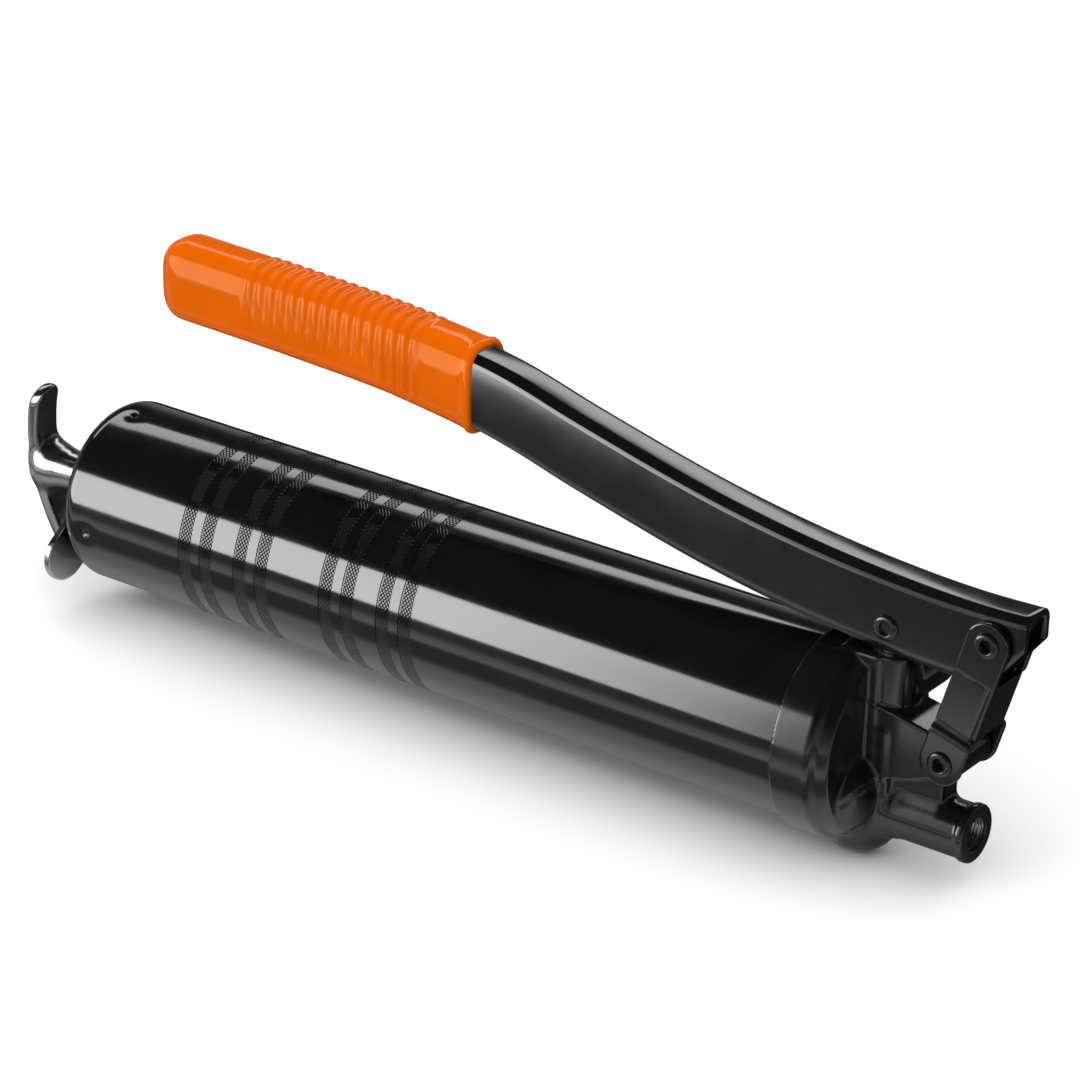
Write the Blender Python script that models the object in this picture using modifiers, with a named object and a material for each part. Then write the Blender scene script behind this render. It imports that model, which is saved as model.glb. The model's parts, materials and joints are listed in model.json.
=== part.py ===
"""Lever grease gun, modelled in metres with +Z up.

The barrel lies along X and the outlet points to +X. The origin is on the lengthwise
centre of the gun, at the height of its lowest point, which is the foot of the pump head.
"""

import math

import bmesh
import bpy
from mathutils import Matrix, Vector

MM = 0.001
GAP = 0.3 * MM  # left between pieces that touch

# ---- driving dimensions ----------------------------------------------------------
BARREL_R = 28.5 * MM  # 57 mm tube, as a 53.5 mm cartridge needs
BARREL_WALL = 1.2 * MM
AXIS_Z = 35.0 * MM  # height of the barrel's axis above the foot of the head
BARREL_REAR_X = -148.0 * MM
BARREL_FRONT_X = 126.0 * MM
REAR_ROUND = 6.0 * MM
REAR_OPENING_R = 16.0 * MM

COLLAR_R = 30.4 * MM
COLLAR_REAR_X = 116.3 * MM
SOCKET_FLOOR_X = 128.0 * MM
FACE_X = 133.2 * MM  # flat front face of the head's disc
FACE_R = 26.5 * MM

PUMP_X = 137.2 * MM  # the plunger's axis
COLUMN_R = 7.4 * MM
COLUMN_TOP_Z = 65.0 * MM
PUMP_BORE_R = 4.65 * MM
PUMP_FLOOR_Z = 27.0 * MM
CHAMBER_R = 3.4 * MM
SEAT_X = 143.5 * MM  # where the check ball closes the passage

BLEED_X = 139.0 * MM  # the bleed screw lies across the head, on its far side
BLEED_Z = 54.2 * MM
BLEED_BOSS_R = 6.0 * MM
BLEED_BOSS_Y = 19.0 * MM
BLEED_STEM_R = 2.6 * MM
BLEED_HEX_R = 5.6 * MM
BLEED_KNOB_R = 3.2 * MM

OUTLET_Z = 16.6 * MM
OUTLET_X = 166.1 * MM
OUTLET_R = 8.1 * MM
OUTLET_RIM_R = 8.7 * MM
THREAD_R = 4.6 * MM  # wall of the M10x1 outlet thread, at its crests
THREAD_DEPTH = 14.0 * MM

PLUNGER_PIVOT = (137.2 * MM, 73.9 * MM)  # x, z of the pin through lever and plunger
LEVER_PIVOT = (170.0 * MM, 79.2 * MM)  # lever on link
LINK_PIVOT = (158.8 * MM, 40.3 * MM)  # link on the head's lug
LUG_HALF = 8.0 * MM
LUG_R = 5.8 * MM
PIN_R = 2.5 * MM
PIN_HOLE_R = 2.65 * MM
PIN_HEAD_R = 3.8 * MM
PIN_HEAD_T = 1.0 * MM
SEAL_R = 5.95 * MM

LEVER_HALF = 6.5 * MM
LEVER_WALL = 2.0 * MM
LEVER_FRONT_X = 180.4 * MM
GRIP_REAR_X = -123.5 * MM
GRIP_FRONT_X = -4.5 * MM
GRIP_WALL = 2.2 * MM

LINK_WALL = 1.9 * MM
LINK_HALF_WIDTH = 6.6 * MM

ROD_R = 3.5 * MM
ROD_HOLE_R = 3.8 * MM
ROD_FRONT_X = 107.0 * MM
HANDLE_X = -180.4 * MM  # rearmost point of the pull handle
HANDLE_TURN = math.radians(11.5)  # the upper arm leans towards -Y
HANDLE_PIN_X = -161.5 * MM
HANDLE_PIN_R = 1.2 * MM
HANDLE_PIN_HOLE_R = 1.5 * MM
LATCH_TILT = math.radians(3.8)
LATCH_ANGLE = math.radians(40.0)  # the tab points this far below -Y
LATCH_FULCRUM = 13.5 * MM  # from the rod's axis

PISTON_X = 94.2 * MM  # rear face of the piston
SPRING_REAR_X = -143.0 * MM
SPRING_TURNS = 13

REAR_CAP_BOSS_X = BARREL_REAR_X - 0.3 * MM
REAR_CAP_BOSS_R = REAR_OPENING_R - 0.4 * MM
REAR_CAP_DISC_X = BARREL_REAR_X + BARREL_WALL + GAP
SPRING_POCKET_R = 7.2 * MM
SPRING_POCKET_X = -142.6 * MM

LATCH_PIVOT_X = REAR_CAP_BOSS_X - GAP
LATCH_PLATE_T = 2.0 * MM
LATCH_HALF = 8.6 * MM
LATCH_REACH = 35.8 * MM  # from the rod's axis to the tip of the tab
LATCH_HOLE_R = 4.0 * MM

BALL_R = 2.6 * MM
BALL_X = 145.5 * MM
RETAINER_X = OUTLET_X - THREAD_DEPTH + GAP

LINK_LENGTH = math.dist(LEVER_PIVOT, LINK_PIVOT)
LINK_LEAN = math.atan2(LEVER_PIVOT[0] - LINK_PIVOT[0], LEVER_PIVOT[1] - LINK_PIVOT[1])
UPPER_EAR_Y = 8.8 * MM  # outer face of the ears beside the lever
LOWER_EAR_Y = 10.3 * MM  # outer face of the ears beside the lug
WEB_LOW, WEB_HIGH = 11.2 * MM, 28.7 * MM

LEVER_TOP = [  # x, z of the top of the lever, from the rear
    (-118.0, 123.7), (-70.0, 122.2), (-30.0, 120.0), (4.2, 115.7), (32.0, 108.3),
    (87.0, 95.7), (127.0, 90.3), (165.0, 88.4), (180.4, 88.9),
]
LEVER_DEPTH = 22.5 * MM
LEVER_DEPTH_REAR = 21.0 * MM

ROUND = 40  # facets on middle-sized round pieces
SMALL = 24  # facets on pins and small bores


# ---- scene, collections and materials ---------------------------------------------
def clear_scene():
    for thing in list(bpy.data.objects):
        bpy.data.objects.remove(thing, do_unlink=True)


def new_collection(name):
    made = bpy.data.collections.new(name)
    bpy.context.scene.collection.children.link(made)
    return made


clear_scene()
PARTS = new_collection("grease_gun")
CUTTERS = new_collection("cutters")


def material(name, colour, roughness, metallic=0.0):
    made = bpy.data.materials.new(name)
    made.use_nodes = True
    shader = made.node_tree.nodes["Principled BSDF"]
    shader.inputs["Base Color"].default_value = (*colour, 1.0)
    shader.inputs["Roughness"].default_value = roughness
    shader.inputs["Metallic"].default_value = metallic
    made.diffuse_color = (*colour, 1.0)
    return made


BLACK = (0.012, 0.012, 0.013)
ZINC = (0.72, 0.72, 0.70)
STEEL = (0.45, 0.45, 0.46)
RUBBER = (0.03, 0.03, 0.03)


def finish(thing, colour, roughness, metallic=0.0):
    """Puts a finished piece in the parts collection with a material of its own."""
    for owner in list(thing.users_collection):
        owner.objects.unlink(thing)
    PARTS.objects.link(thing)
    thing.data.materials.clear()
    thing.data.materials.append(material(thing.name + "_finish", colour, roughness, metallic))
    if thing.type == "MESH":
        thing.data.shade_smooth()
        thing.data.set_sharp_from_angle(angle=math.radians(35))
    return thing


def cutter(thing):
    """Marks an object as a tool of a Boolean, which is no piece of its own."""
    for owner in list(thing.users_collection):
        owner.objects.unlink(thing)
    CUTTERS.objects.link(thing)
    thing.hide_render = True
    thing.display_type = "WIRE"
    return thing


def boolean(thing, operation, tool):
    step = thing.modifiers.new(operation.lower() + "_" + tool.name, "BOOLEAN")
    step.operation = operation
    step.solver = "EXACT"
    step.object = cutter(tool)


def cut(thing, *tools):
    for tool in tools:
        boolean(thing, "DIFFERENCE", tool)


def join(thing, *tools):
    for tool in tools:
        boolean(thing, "UNION", tool)


# ---- shapes ------------------------------------------------------------------------
ALONG_X = Matrix.Rotation(math.radians(90), 4, "Y")  # local +Z to world +X
ALONG_Y = Matrix.Rotation(math.radians(90), 4, "X")  # local +Z to world -Y
UPRIGHT = Matrix.Identity(4)


def new_object(name, mesh, place=UPRIGHT):
    thing = bpy.data.objects.new(name, mesh)
    CUTTERS.objects.link(thing)
    thing.matrix_world = place
    return thing


def at(x, y, z, turn=UPRIGHT):
    return Matrix.Translation((x, y, z)) @ turn


def turned(name, profile, place, steps=ROUND):
    """Spins a profile of (radius, height) points about local Z.

    The points run down the outer side from top to bottom; a ring's profile comes back up
    its inner side and closes on its first point, a solid's starts and ends on the axis.
    """
    closed = profile[0][0] > 0
    mesh = bpy.data.meshes.new(name)
    edges = [(i, i + 1) for i in range(len(profile) - 1)]
    if closed:
        edges.append((len(profile) - 1, 0))
    mesh.from_pydata([(r, 0, h) for r, h in profile], edges, [])
    thing = new_object(name, mesh, place)
    screw = thing.modifiers.new("spin", "SCREW")
    screw.steps = steps
    screw.render_steps = steps
    screw.use_merge_vertices = True
    screw.merge_threshold = 0.00001
    return thing


def cylinder(name, radius, start, end, place, facets=SMALL):
    """A cylinder along local Z, from start to end."""
    bm = bmesh.new()
    bmesh.ops.create_cone(
        bm, cap_ends=True, segments=facets, radius1=radius, radius2=radius, depth=end - start
    )
    bmesh.ops.translate(bm, verts=bm.verts, vec=(0, 0, (start + end) / 2))
    return from_bmesh(name, bm, place)


def box(name, low, high, place=UPRIGHT):
    bm = bmesh.new()
    bmesh.ops.create_cube(bm, size=1.0)
    size = [b - a for a, b in zip(low, high)]
    middle = [(a + b) / 2 for a, b in zip(low, high)]
    bmesh.ops.scale(bm, verts=bm.verts, vec=size)
    bmesh.ops.translate(bm, verts=bm.verts, vec=middle)
    return from_bmesh(name, bm, place)


def from_bmesh(name, bm, place=UPRIGHT):
    mesh = bpy.data.meshes.new(name)
    bm.to_mesh(mesh)
    bm.free()
    return new_object(name, mesh, place)


def as_mesh(source, name):
    """Replaces a curve, or a mesh with modifiers, by a plain welded mesh in the same place."""
    bpy.context.view_layer.update()
    graph = bpy.context.evaluated_depsgraph_get()
    mesh = bpy.data.meshes.new_from_object(source.evaluated_get(graph))
    place = source.matrix_world.copy()
    bpy.data.objects.remove(source, do_unlink=True)
    bm = bmesh.new()
    bm.from_mesh(mesh)
    bmesh.ops.remove_doubles(bm, verts=bm.verts, dist=0.000001)
    bmesh.ops.dissolve_limit(bm, angle_limit=0.001, verts=bm.verts, edges=bm.edges)
    bmesh.ops.recalc_face_normals(bm, faces=bm.faces)
    bm.to_mesh(mesh)
    bm.free()
    mesh.name = name
    return new_object(name, mesh, place)


def slab(name, outline, half, place=ALONG_Y):
    """A flat outline of (x, z) points made solid, from -half to +half across it."""
    data = bpy.data.curves.new(name + "_outline", "CURVE")
    data.dimensions = "2D"
    data.fill_mode = "BOTH"
    data.extrude = half
    line = data.splines.new("POLY")
    line.points.add(len(outline) - 1)
    for point, (x, z) in zip(line.points, outline):
        point.co = (x, z, 0, 1)
    line.use_cyclic_u = True
    return as_mesh(new_object(name + "_outline", data, place), name)


def wire(name, points, radius, resolution=2):
    data = bpy.data.curves.new(name, "CURVE")
    data.dimensions = "3D"
    data.bevel_depth = radius
    data.bevel_resolution = resolution
    data.use_fill_caps = True
    line = data.splines.new("POLY")
    line.points.add(len(points) - 1)
    for point, place in zip(line.points, points):
        point.co = (*place, 1)
    return as_mesh(new_object(name + "_line", data), name)


def coil(start, end, radius, turns, per_turn):
    """Points along a coil about local Z, with a closed half turn at each end."""
    points = []
    count = int(turns * per_turn)
    for i in range(count + 1):
        share = i / count
        angle = 2 * math.pi * turns * share
        points.append((radius * math.cos(angle), radius * math.sin(angle), start + (end - start) * share))
    return points


def arc(centre, radius, first, last, steps):
    """Points on an arc, with the angles in degrees."""
    made = []
    for i in range(steps + 1):
        angle = math.radians(first + (last - first) * i / steps)
        made.append((centre[0] + radius * math.cos(angle), centre[1] + radius * math.sin(angle)))
    return made


def smooth_line(knots, steps):
    """A Catmull-Rom line through the knots, with this many points to each span."""
    points = [Vector(k) for k in knots]
    ends = [2 * points[0] - points[1], *points, 2 * points[-1] - points[-2]]
    made = []
    for i in range(1, len(ends) - 2):
        before, a, b, after = ends[i - 1], ends[i], ends[i + 1], ends[i + 2]
        for j in range(steps):
            t = j / steps
            made.append(
                0.5 * (2 * a + (b - before) * t + (2 * before - 5 * a + 4 * b - after) * t**2
                       + (3 * a - 3 * b + after - before) * t**3)
            )
    made.append(points[-1])
    return [tuple(p) for p in made]


def soften(thing, width, segments=2, angle=40):
    step = thing.modifiers.new("soften", "BEVEL")
    step.width = width
    step.segments = segments
    step.limit_method = "ANGLE"
    step.angle_limit = math.radians(angle)
    step.use_clamp_overlap = True


def soften_edges(thing, width, segments, wanted):
    """Bevels only the sharp edges whose two end points satisfy wanted."""
    bm = bmesh.new()
    bm.from_mesh(thing.data)
    weight = bm.edges.layers.float.new("bevel_weight_edge")
    for edge in bm.edges:
        sharp = edge.calc_face_angle() > math.radians(40)
        edge[weight] = 1.0 if sharp and wanted(*(v.co for v in edge.verts)) else 0.0
    bm.to_mesh(thing.data)
    bm.free()
    step = thing.modifiers.new("soften", "BEVEL")
    step.width = width
    step.segments = segments
    step.limit_method = "WEIGHT"


# ---- barrel and rear end --------------------------------------------------------------
def barrel_axis(x=0.0):
    return at(x, 0, AXIS_Z, ALONG_X)


def barrel():
    inner = BARREL_R - BARREL_WALL
    corner = BARREL_REAR_X + REAR_ROUND
    outside = arc((BARREL_R - REAR_ROUND, corner), REAR_ROUND, 0, -90, 5)
    inside = arc((BARREL_R - REAR_ROUND, corner), REAR_ROUND - BARREL_WALL, -90, 0, 5)
    profile = [
        (BARREL_R, BARREL_FRONT_X),
        *outside,
        (REAR_OPENING_R, BARREL_REAR_X),
        (REAR_OPENING_R, BARREL_REAR_X + BARREL_WALL),
        *inside,
        (inner, BARREL_FRONT_X),
    ]
    finish(turned("barrel", profile, barrel_axis(), 64), BLACK, 0.12)


def rear_cap():
    """Guide disc with a skirt that is staked to the barrel, and a boss with the latch spring's pocket."""
    skirt_r = BARREL_R - BARREL_WALL - GAP
    disc_front = REAR_CAP_DISC_X + 2.0 * MM
    profile = [
        (skirt_r, -132.0 * MM),
        (skirt_r, REAR_CAP_DISC_X + 6.0 * MM),
        (skirt_r - 6.0 * MM, REAR_CAP_DISC_X),
        (REAR_CAP_BOSS_R, REAR_CAP_DISC_X),
        (REAR_CAP_BOSS_R, REAR_CAP_BOSS_X),
        (SPRING_POCKET_R, REAR_CAP_BOSS_X),
        (SPRING_POCKET_R, SPRING_POCKET_X),
        (ROD_HOLE_R, SPRING_POCKET_X),
        (ROD_HOLE_R, -139.0 * MM),
        (9.0 * MM, -139.0 * MM),
        (12.0 * MM, disc_front),
        (skirt_r - 6.0 * MM, disc_front),
        (skirt_r - 1.4 * MM, REAR_CAP_DISC_X + 7.0 * MM),
        (skirt_r - 1.4 * MM, -132.0 * MM),
    ]
    finish(turned("rear_cap", profile, barrel_axis()), STEEL, 0.4, 1.0)


def latch_place():
    """Local X is the tab's direction, local Y the hinge, local Z points to the rear; origin on the hinge."""
    reach = Vector((0, -math.cos(LATCH_ANGLE), -math.sin(LATCH_ANGLE)))
    rear = Vector((-1, 0, 0))
    hinge = rear.cross(reach)
    turn = Matrix((reach, hinge, rear)).transposed().to_4x4()
    centre = Vector((LATCH_PIVOT_X, 0, AXIS_Z)) - LATCH_FULCRUM * reach
    return Matrix.Translation(centre) @ turn @ Matrix.Rotation(-LATCH_TILT, 4, "Y")


def rod_latch():
    tip = LATCH_FULCRUM + LATCH_REACH - LATCH_HALF
    outline = [(0.0, -LATCH_HALF), *arc((tip, 0), LATCH_HALF, -90, 90, 12), (0.0, LATCH_HALF)]
    place = latch_place()
    plate = slab("rod_latch", outline, LATCH_PLATE_T / 2, place @ at(0, 0, LATCH_PLATE_T / 2))
    hole = cylinder("latch_hole", LATCH_HOLE_R, -3 * MM, 5 * MM, place @ at(LATCH_FULCRUM, 0, 0))
    cut(plate, hole)
    finish(plate, ZINC, 0.25, 1.0)


def latch_spring():
    points = coil(0.55 * MM, 5.3 * MM, 5.6 * MM, 3, 10)
    place = at(SPRING_POCKET_X - GAP, 0, AXIS_Z, Matrix.Rotation(math.radians(-90), 4, "Y"))
    spring = wire("latch_spring", points, 0.55 * MM, 1)
    spring.matrix_world = place
    finish(spring, STEEL, 0.3, 1.0)


def handle_turn():
    return at(0, 0, AXIS_Z, Matrix.Rotation(HANDLE_TURN, 4, "X"))


def pull_handle():
    """Two arms that curve forward from a flared neck, bored for the rod."""
    bow_r = 76.0 * MM
    half_span = 30.0 * MM
    thick = 4.0 * MM
    end_r = 5.6 * MM
    swing = math.degrees(math.asin(half_span / bow_r)) + 1
    back = arc((HANDLE_X + bow_r, 0), bow_r, 180 - swing, 180 + swing, 14)
    front = arc((HANDLE_X + bow_r, 0), bow_r - thick, 180 + swing, 180 - swing, 14)
    arms = slab("arms", back + front, end_r + MM, handle_turn() @ ALONG_Y)
    tips = half_span - end_r
    ends = arc((0, tips), end_r, 0, 180, 12) + arc((0, -tips), end_r, 180, 360, 12)
    across = Matrix.Rotation(math.radians(90), 4, "Z") @ ALONG_Y
    mask = slab("handle_ends", ends, 20 * MM, handle_turn() @ at(HANDLE_X, 0, 0, across))
    boolean(arms, "INTERSECT", mask)
    arms = as_mesh(arms, "pull_handle")
    soften(arms, 1.0 * MM, 2, 50)
    neck = [
        (0.0, -155.6 * MM),
        (6.2 * MM, -155.6 * MM),
        (6.3 * MM, -167.0 * MM),
        (7.0 * MM, -171.0 * MM),
        (8.6 * MM, -174.0 * MM),
        (9.4 * MM, -176.2 * MM),
        (8.8 * MM, -178.2 * MM),
        (0.0, -178.8 * MM),
    ]
    join(arms, turned("handle_neck", neck, handle_turn() @ ALONG_X, 32))
    pin_place = handle_turn() @ at(HANDLE_PIN_X, 0, 0, ALONG_Y)
    cut(
        arms,
        cylinder("handle_bore", ROD_R + GAP, -174.0 * MM, -150.0 * MM, handle_turn() @ ALONG_X),
        cylinder("handle_pin_hole", HANDLE_PIN_HOLE_R, -9 * MM, 9 * MM, pin_place),
    )
    finish(arms, (0.80, 0.80, 0.79), 0.2, 1.0)


def handle_pin():
    place = handle_turn() @ at(HANDLE_PIN_X, 0, 0, ALONG_Y)
    finish(cylinder("handle_pin", HANDLE_PIN_R, -6.0 * MM, 6.0 * MM, place, 16), STEEL, 0.3, 1.0)


def follower_rod():
    rod = cylinder("follower_rod", ROD_R, -173.7 * MM, ROD_FRONT_X, barrel_axis(), 32)
    place = handle_turn() @ at(HANDLE_PIN_X, 0, 0, ALONG_Y)
    cut(rod, cylinder("rod_pin_hole", HANDLE_PIN_HOLE_R, -9 * MM, 9 * MM, place))
    finish(rod, (0.65, 0.65, 0.66), 0.18, 1.0)


# ---- piston and follower spring --------------------------------------------------------
def disc(name, radius, start, end, hole=ROD_HOLE_R, facets=ROUND):
    profile = [(radius, end), (radius, start), (hole, start), (hole, end)]
    return turned(name, profile, barrel_axis(), facets)


def piston():
    rear = [
        (24.5 * MM, PISTON_X + 1.5 * MM),
        (24.5 * MM, PISTON_X - 4.0 * MM),
        (23.2 * MM, PISTON_X - 4.0 * MM),
        (23.2 * MM, PISTON_X),
        (ROD_HOLE_R, PISTON_X),
        (ROD_HOLE_R, PISTON_X + 1.5 * MM),
    ]
    finish(turned("piston_rear_plate", rear, barrel_axis()), ZINC, 0.35, 1.0)
    cup_x = PISTON_X + 1.5 * MM + GAP
    cup = [
        (27.0 * MM, cup_x + 12.0 * MM),
        (26.6 * MM, cup_x + 2.0 * MM),
        (25.0 * MM, cup_x),
        (ROD_HOLE_R, cup_x),
        (ROD_HOLE_R, cup_x + 2.5 * MM),
        (23.5 * MM, cup_x + 2.5 * MM),
        (25.4 * MM, cup_x + 12.0 * MM),
    ]
    finish(turned("piston_cup", cup, barrel_axis()), (0.02, 0.02, 0.02), 0.6)
    front_x = cup_x + 2.5 * MM + GAP
    finish(disc("piston_front_plate", 20.0 * MM, front_x, front_x + 1.5 * MM), ZINC, 0.35, 1.0)
    nut_x = front_x + 1.5 * MM + GAP
    nut = cylinder("piston_nut", 6.5 * MM, nut_x, nut_x + 5.0 * MM, barrel_axis(), 6)
    cut(nut, cylinder("nut_hole", ROD_HOLE_R, nut_x - MM, nut_x + 6.0 * MM, barrel_axis()))
    finish(nut, ZINC, 0.3, 1.0)


def follower_spring():
    points = coil(SPRING_REAR_X, PISTON_X - 1.4 * MM, 20.0 * MM, SPRING_TURNS, 12)
    spring = wire("follower_spring", points, 1.0 * MM, 1)
    spring.matrix_world = barrel_axis()
    finish(spring, STEEL, 0.3, 1.0)


# ---- pump head ----------------------------------------------------------------------------
def collar():
    """The turned part of the casting: the collar over the barrel and the disc that closes it."""
    shoulder = arc((FACE_R - 1.2 * MM, FACE_X - 1.2 * MM), 1.2 * MM, 90, 20, 3)
    profile = [
        (0.0, FACE_X),
        *shoulder,
        (COLLAR_R - 1.5 * MM, 129.3 * MM),
        (COLLAR_R - 0.4 * MM, 127.8 * MM),
        (COLLAR_R, 126.0 * MM),
        (COLLAR_R, COLLAR_REAR_X + 0.5 * MM),
        (COLLAR_R - 0.5 * MM, COLLAR_REAR_X),
        (0.0, COLLAR_REAR_X),
    ]
    return turned("pump_head", profile, barrel_axis(), 56)


def lug_outline():
    """Side view of the lug from the column to the link pin, in x and z."""
    x, z = LINK_PIVOT
    return [
        (134.0 * MM, 50.5 * MM),
        (142.0 * MM, 49.7 * MM),
        *arc((x, z), LUG_R, 76, -100, 12),
        (148.0 * MM, 30.5 * MM),
        (134.0 * MM, 27.0 * MM),
    ]


def housing_outline():
    """Side view of the block around the bottom of the pump, in x and z, with a round front foot."""
    return [
        (122 * MM, 47 * MM),
        (122 * MM, 6.5 * MM),
        (126.5 * MM, 4.4 * MM),
        *arc((132.0 * MM, 13.8 * MM), 9.6 * MM, -95, 0, 6),
        (141.8 * MM, 47 * MM),
    ]


def pump_head():
    head = collar()
    slab_top = COLUMN_TOP_Z - 0.2 * MM
    slab_body = box("column_slab", (130 * MM, -LUG_HALF, 22 * MM), (140.4 * MM, LUG_HALF, slab_top))
    soften(slab_body, 1.2 * MM)
    housing = slab("housing", housing_outline(), 12.0 * MM)
    soften(housing, 3.5 * MM, 3)
    column = cylinder("column", COLUMN_R, 9.5 * MM, COLUMN_TOP_Z, at(PUMP_X, 0, 0), 32)
    soften(column, 0.8 * MM)
    foot = turned(
        "foot",
        [(0.0, 24.0 * MM), *arc((0, 12.0 * MM), 12.0 * MM, 75, -90, 11)],
        at(128.5 * MM, 0, 0),
        32,
    )
    lug = slab("lug_block", lug_outline(), LUG_HALF)
    soften(lug, 0.8 * MM)
    pin_place = at(LINK_PIVOT[0], 0, LINK_PIVOT[1], ALONG_Y)
    cut(lug, cylinder("link_pin_bore", PIN_HOLE_R, -10 * MM, 10 * MM, pin_place))
    lug = as_mesh(lug, "lug")
    web = box("lug_web", (136 * MM, -4.5 * MM, 12 * MM), (157.5 * MM, 4.5 * MM, 37 * MM))
    soften(web, 1.5 * MM)
    pipe = [
        (0.0, OUTLET_X),
        (OUTLET_RIM_R - 0.8 * MM, OUTLET_X),
        (OUTLET_RIM_R, OUTLET_X - 0.8 * MM),
        (OUTLET_RIM_R, OUTLET_X - 2.6 * MM),
        (OUTLET_R, OUTLET_X - 4.2 * MM),
        (OUTLET_R, 134.0 * MM),
        (0.0, 134.0 * MM),
    ]
    outlet = turned("outlet_pipe", pipe, at(0, 0, OUTLET_Z, ALONG_X), 32)
    bleed_place = at(BLEED_X, 0, BLEED_Z, ALONG_Y)
    bleed_boss = cylinder("bleed_boss", BLEED_BOSS_R, -BLEED_BOSS_Y, -4 * MM, bleed_place, 32)
    soften(bleed_boss, 0.6 * MM)
    join(head, slab_body, housing, column, foot, lug, web, outlet, bleed_boss)
    head = as_mesh(head, "pump_head")
    outlet_place = at(0, 0, OUTLET_Z, ALONG_X)
    cut(
        head,
        cylinder("socket", BARREL_R + GAP, 100 * MM, SOCKET_FLOOR_X, barrel_axis(), 64),
        cylinder("pump_bore", PUMP_BORE_R, PUMP_FLOOR_Z, 70 * MM, at(PUMP_X, 0, 0), 26),
        cylinder("seal_pocket", 6.2 * MM, 60.5 * MM, 70 * MM, at(PUMP_X, 0, 0)),
        cylinder("inlet", 3.0 * MM, 120 * MM, PUMP_X, at(0, 0, 50.0 * MM, ALONG_X)),
        cylinder("crossing", 2.0 * MM, OUTLET_Z - 3 * MM, 30 * MM, at(PUMP_X, 0, 0)),
        cylinder("outlet_passage", 2.0 * MM, PUMP_X - 3 * MM, 150 * MM, outlet_place),
        cylinder("valve_chamber", CHAMBER_R, SEAT_X, 160 * MM, outlet_place),
        cylinder("outlet_thread", THREAD_R, OUTLET_X - THREAD_DEPTH, 170 * MM, outlet_place, 32),
        cylinder("bleed_bore", BLEED_STEM_R + GAP, -30 * MM, -BLEED_BOSS_Y + 9 * MM, bleed_place),
        cylinder("bleed_passage", 0.9 * MM, -15 * MM, 0, bleed_place, 16),
    )
    finish(head, BLACK, 0.14)


def ring_profile(outer, inner, start, end):
    return [(outer, end), (outer, start), (inner, start), (inner, end)]


def head_seals():
    gasket = ring_profile(BARREL_R, 25.5 * MM, 126.3 * MM, 127.7 * MM)
    finish(turned("barrel_gasket", gasket, barrel_axis()), RUBBER, 0.7)
    seal = ring_profile(SEAL_R, 4.75 * MM, 60.8 * MM, 63.0 * MM)
    finish(turned("plunger_seal", seal, at(PUMP_X, 0, 0), SMALL), RUBBER, 0.6)
    gland = ring_profile(SEAL_R, 4.8 * MM, 63.3 * MM, 65.2 * MM)
    finish(turned("gland_ring", gland, at(PUMP_X, 0, 0), SMALL), ZINC, 0.3, 1.0)


def bleed_valve():
    """Air bleed screw across the head: a stem in the boss, a hexagon and a knob."""
    seat = BLEED_BOSS_Y + GAP
    place = at(BLEED_X, 0, BLEED_Z, ALONG_Y)
    valve = cylinder("bleed_valve", BLEED_HEX_R, -seat - 4.0 * MM, -seat, place, 6)
    stem = cylinder("bleed_stem", BLEED_STEM_R, -seat - MM, -seat + 7.5 * MM, place)
    knob = cylinder("bleed_knob", BLEED_KNOB_R, -seat - 7.8 * MM, -seat - 3.0 * MM, place)
    join(valve, stem, knob)
    finish(valve, STEEL, 0.3, 1.0)


def check_valve():
    """Ball, spring and hollow screw, one behind the other in the outlet pipe."""
    bm = bmesh.new()
    bmesh.ops.create_icosphere(bm, subdivisions=3, radius=BALL_R)
    finish(from_bmesh("check_ball", bm, at(BALL_X, 0, OUTLET_Z)), (0.7, 0.7, 0.7), 0.1, 1.0)
    points = coil(BALL_X + 2.2 * MM, RETAINER_X - 0.7 * MM, 2.3 * MM, 3, 9)
    spring = wire("check_spring", points, 0.35 * MM, 1)
    spring.matrix_world = at(0, 0, OUTLET_Z, ALONG_X)
    finish(spring, STEEL, 0.3, 1.0)
    screw = [
        (THREAD_R - 0.2 * MM, RETAINER_X + 3.0 * MM),
        (THREAD_R - 0.2 * MM, RETAINER_X),
        (1.6 * MM, RETAINER_X),
        (1.6 * MM, RETAINER_X + 3.0 * MM),
    ]
    retainer = turned("valve_retainer", screw, at(0, 0, OUTLET_Z, ALONG_X), SMALL)
    slot = box("retainer_slot", (RETAINER_X + 1.8 * MM, -0.6 * MM, 10 * MM), (160 * MM, 0.6 * MM, 25 * MM))
    cut(retainer, slot)
    finish(retainer, (0.75, 0.6, 0.3), 0.3, 1.0)


def plunger():
    """Pump rod, flattened at the top into an eye whose slot lets the pin wander as the lever swings."""
    x, z = PLUNGER_PIVOT
    rod = cylinder("plunger", PUMP_BORE_R - 0.15 * MM, 30.3 * MM, 71 * MM, at(x, 0, 0), 32)
    half_eye = [(5.4, -6.2), (7.4, -3.0), (7.4, 2.2), (5.2, 5.0)]
    eye = half_eye + [(-a, b) for a, b in reversed(half_eye)]
    head = slab("plunger_eye", [(x + a * MM, z + b * MM) for a, b in eye], 4.1 * MM)
    reach = 1.5 * MM
    slot_r = PIN_R + 0.45 * MM
    slot = [(x + reach + a, z + b) for a, b in arc((0, 0), slot_r, -90, 90, 10)]
    slot += [(x - reach + a, z + b) for a, b in arc((0, 0), slot_r, 90, 270, 10)]
    join(rod, head)
    cut(rod, slab("plunger_slot", slot, 6 * MM))
    finish(rod, (0.6, 0.6, 0.62), 0.15, 1.0)


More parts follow.
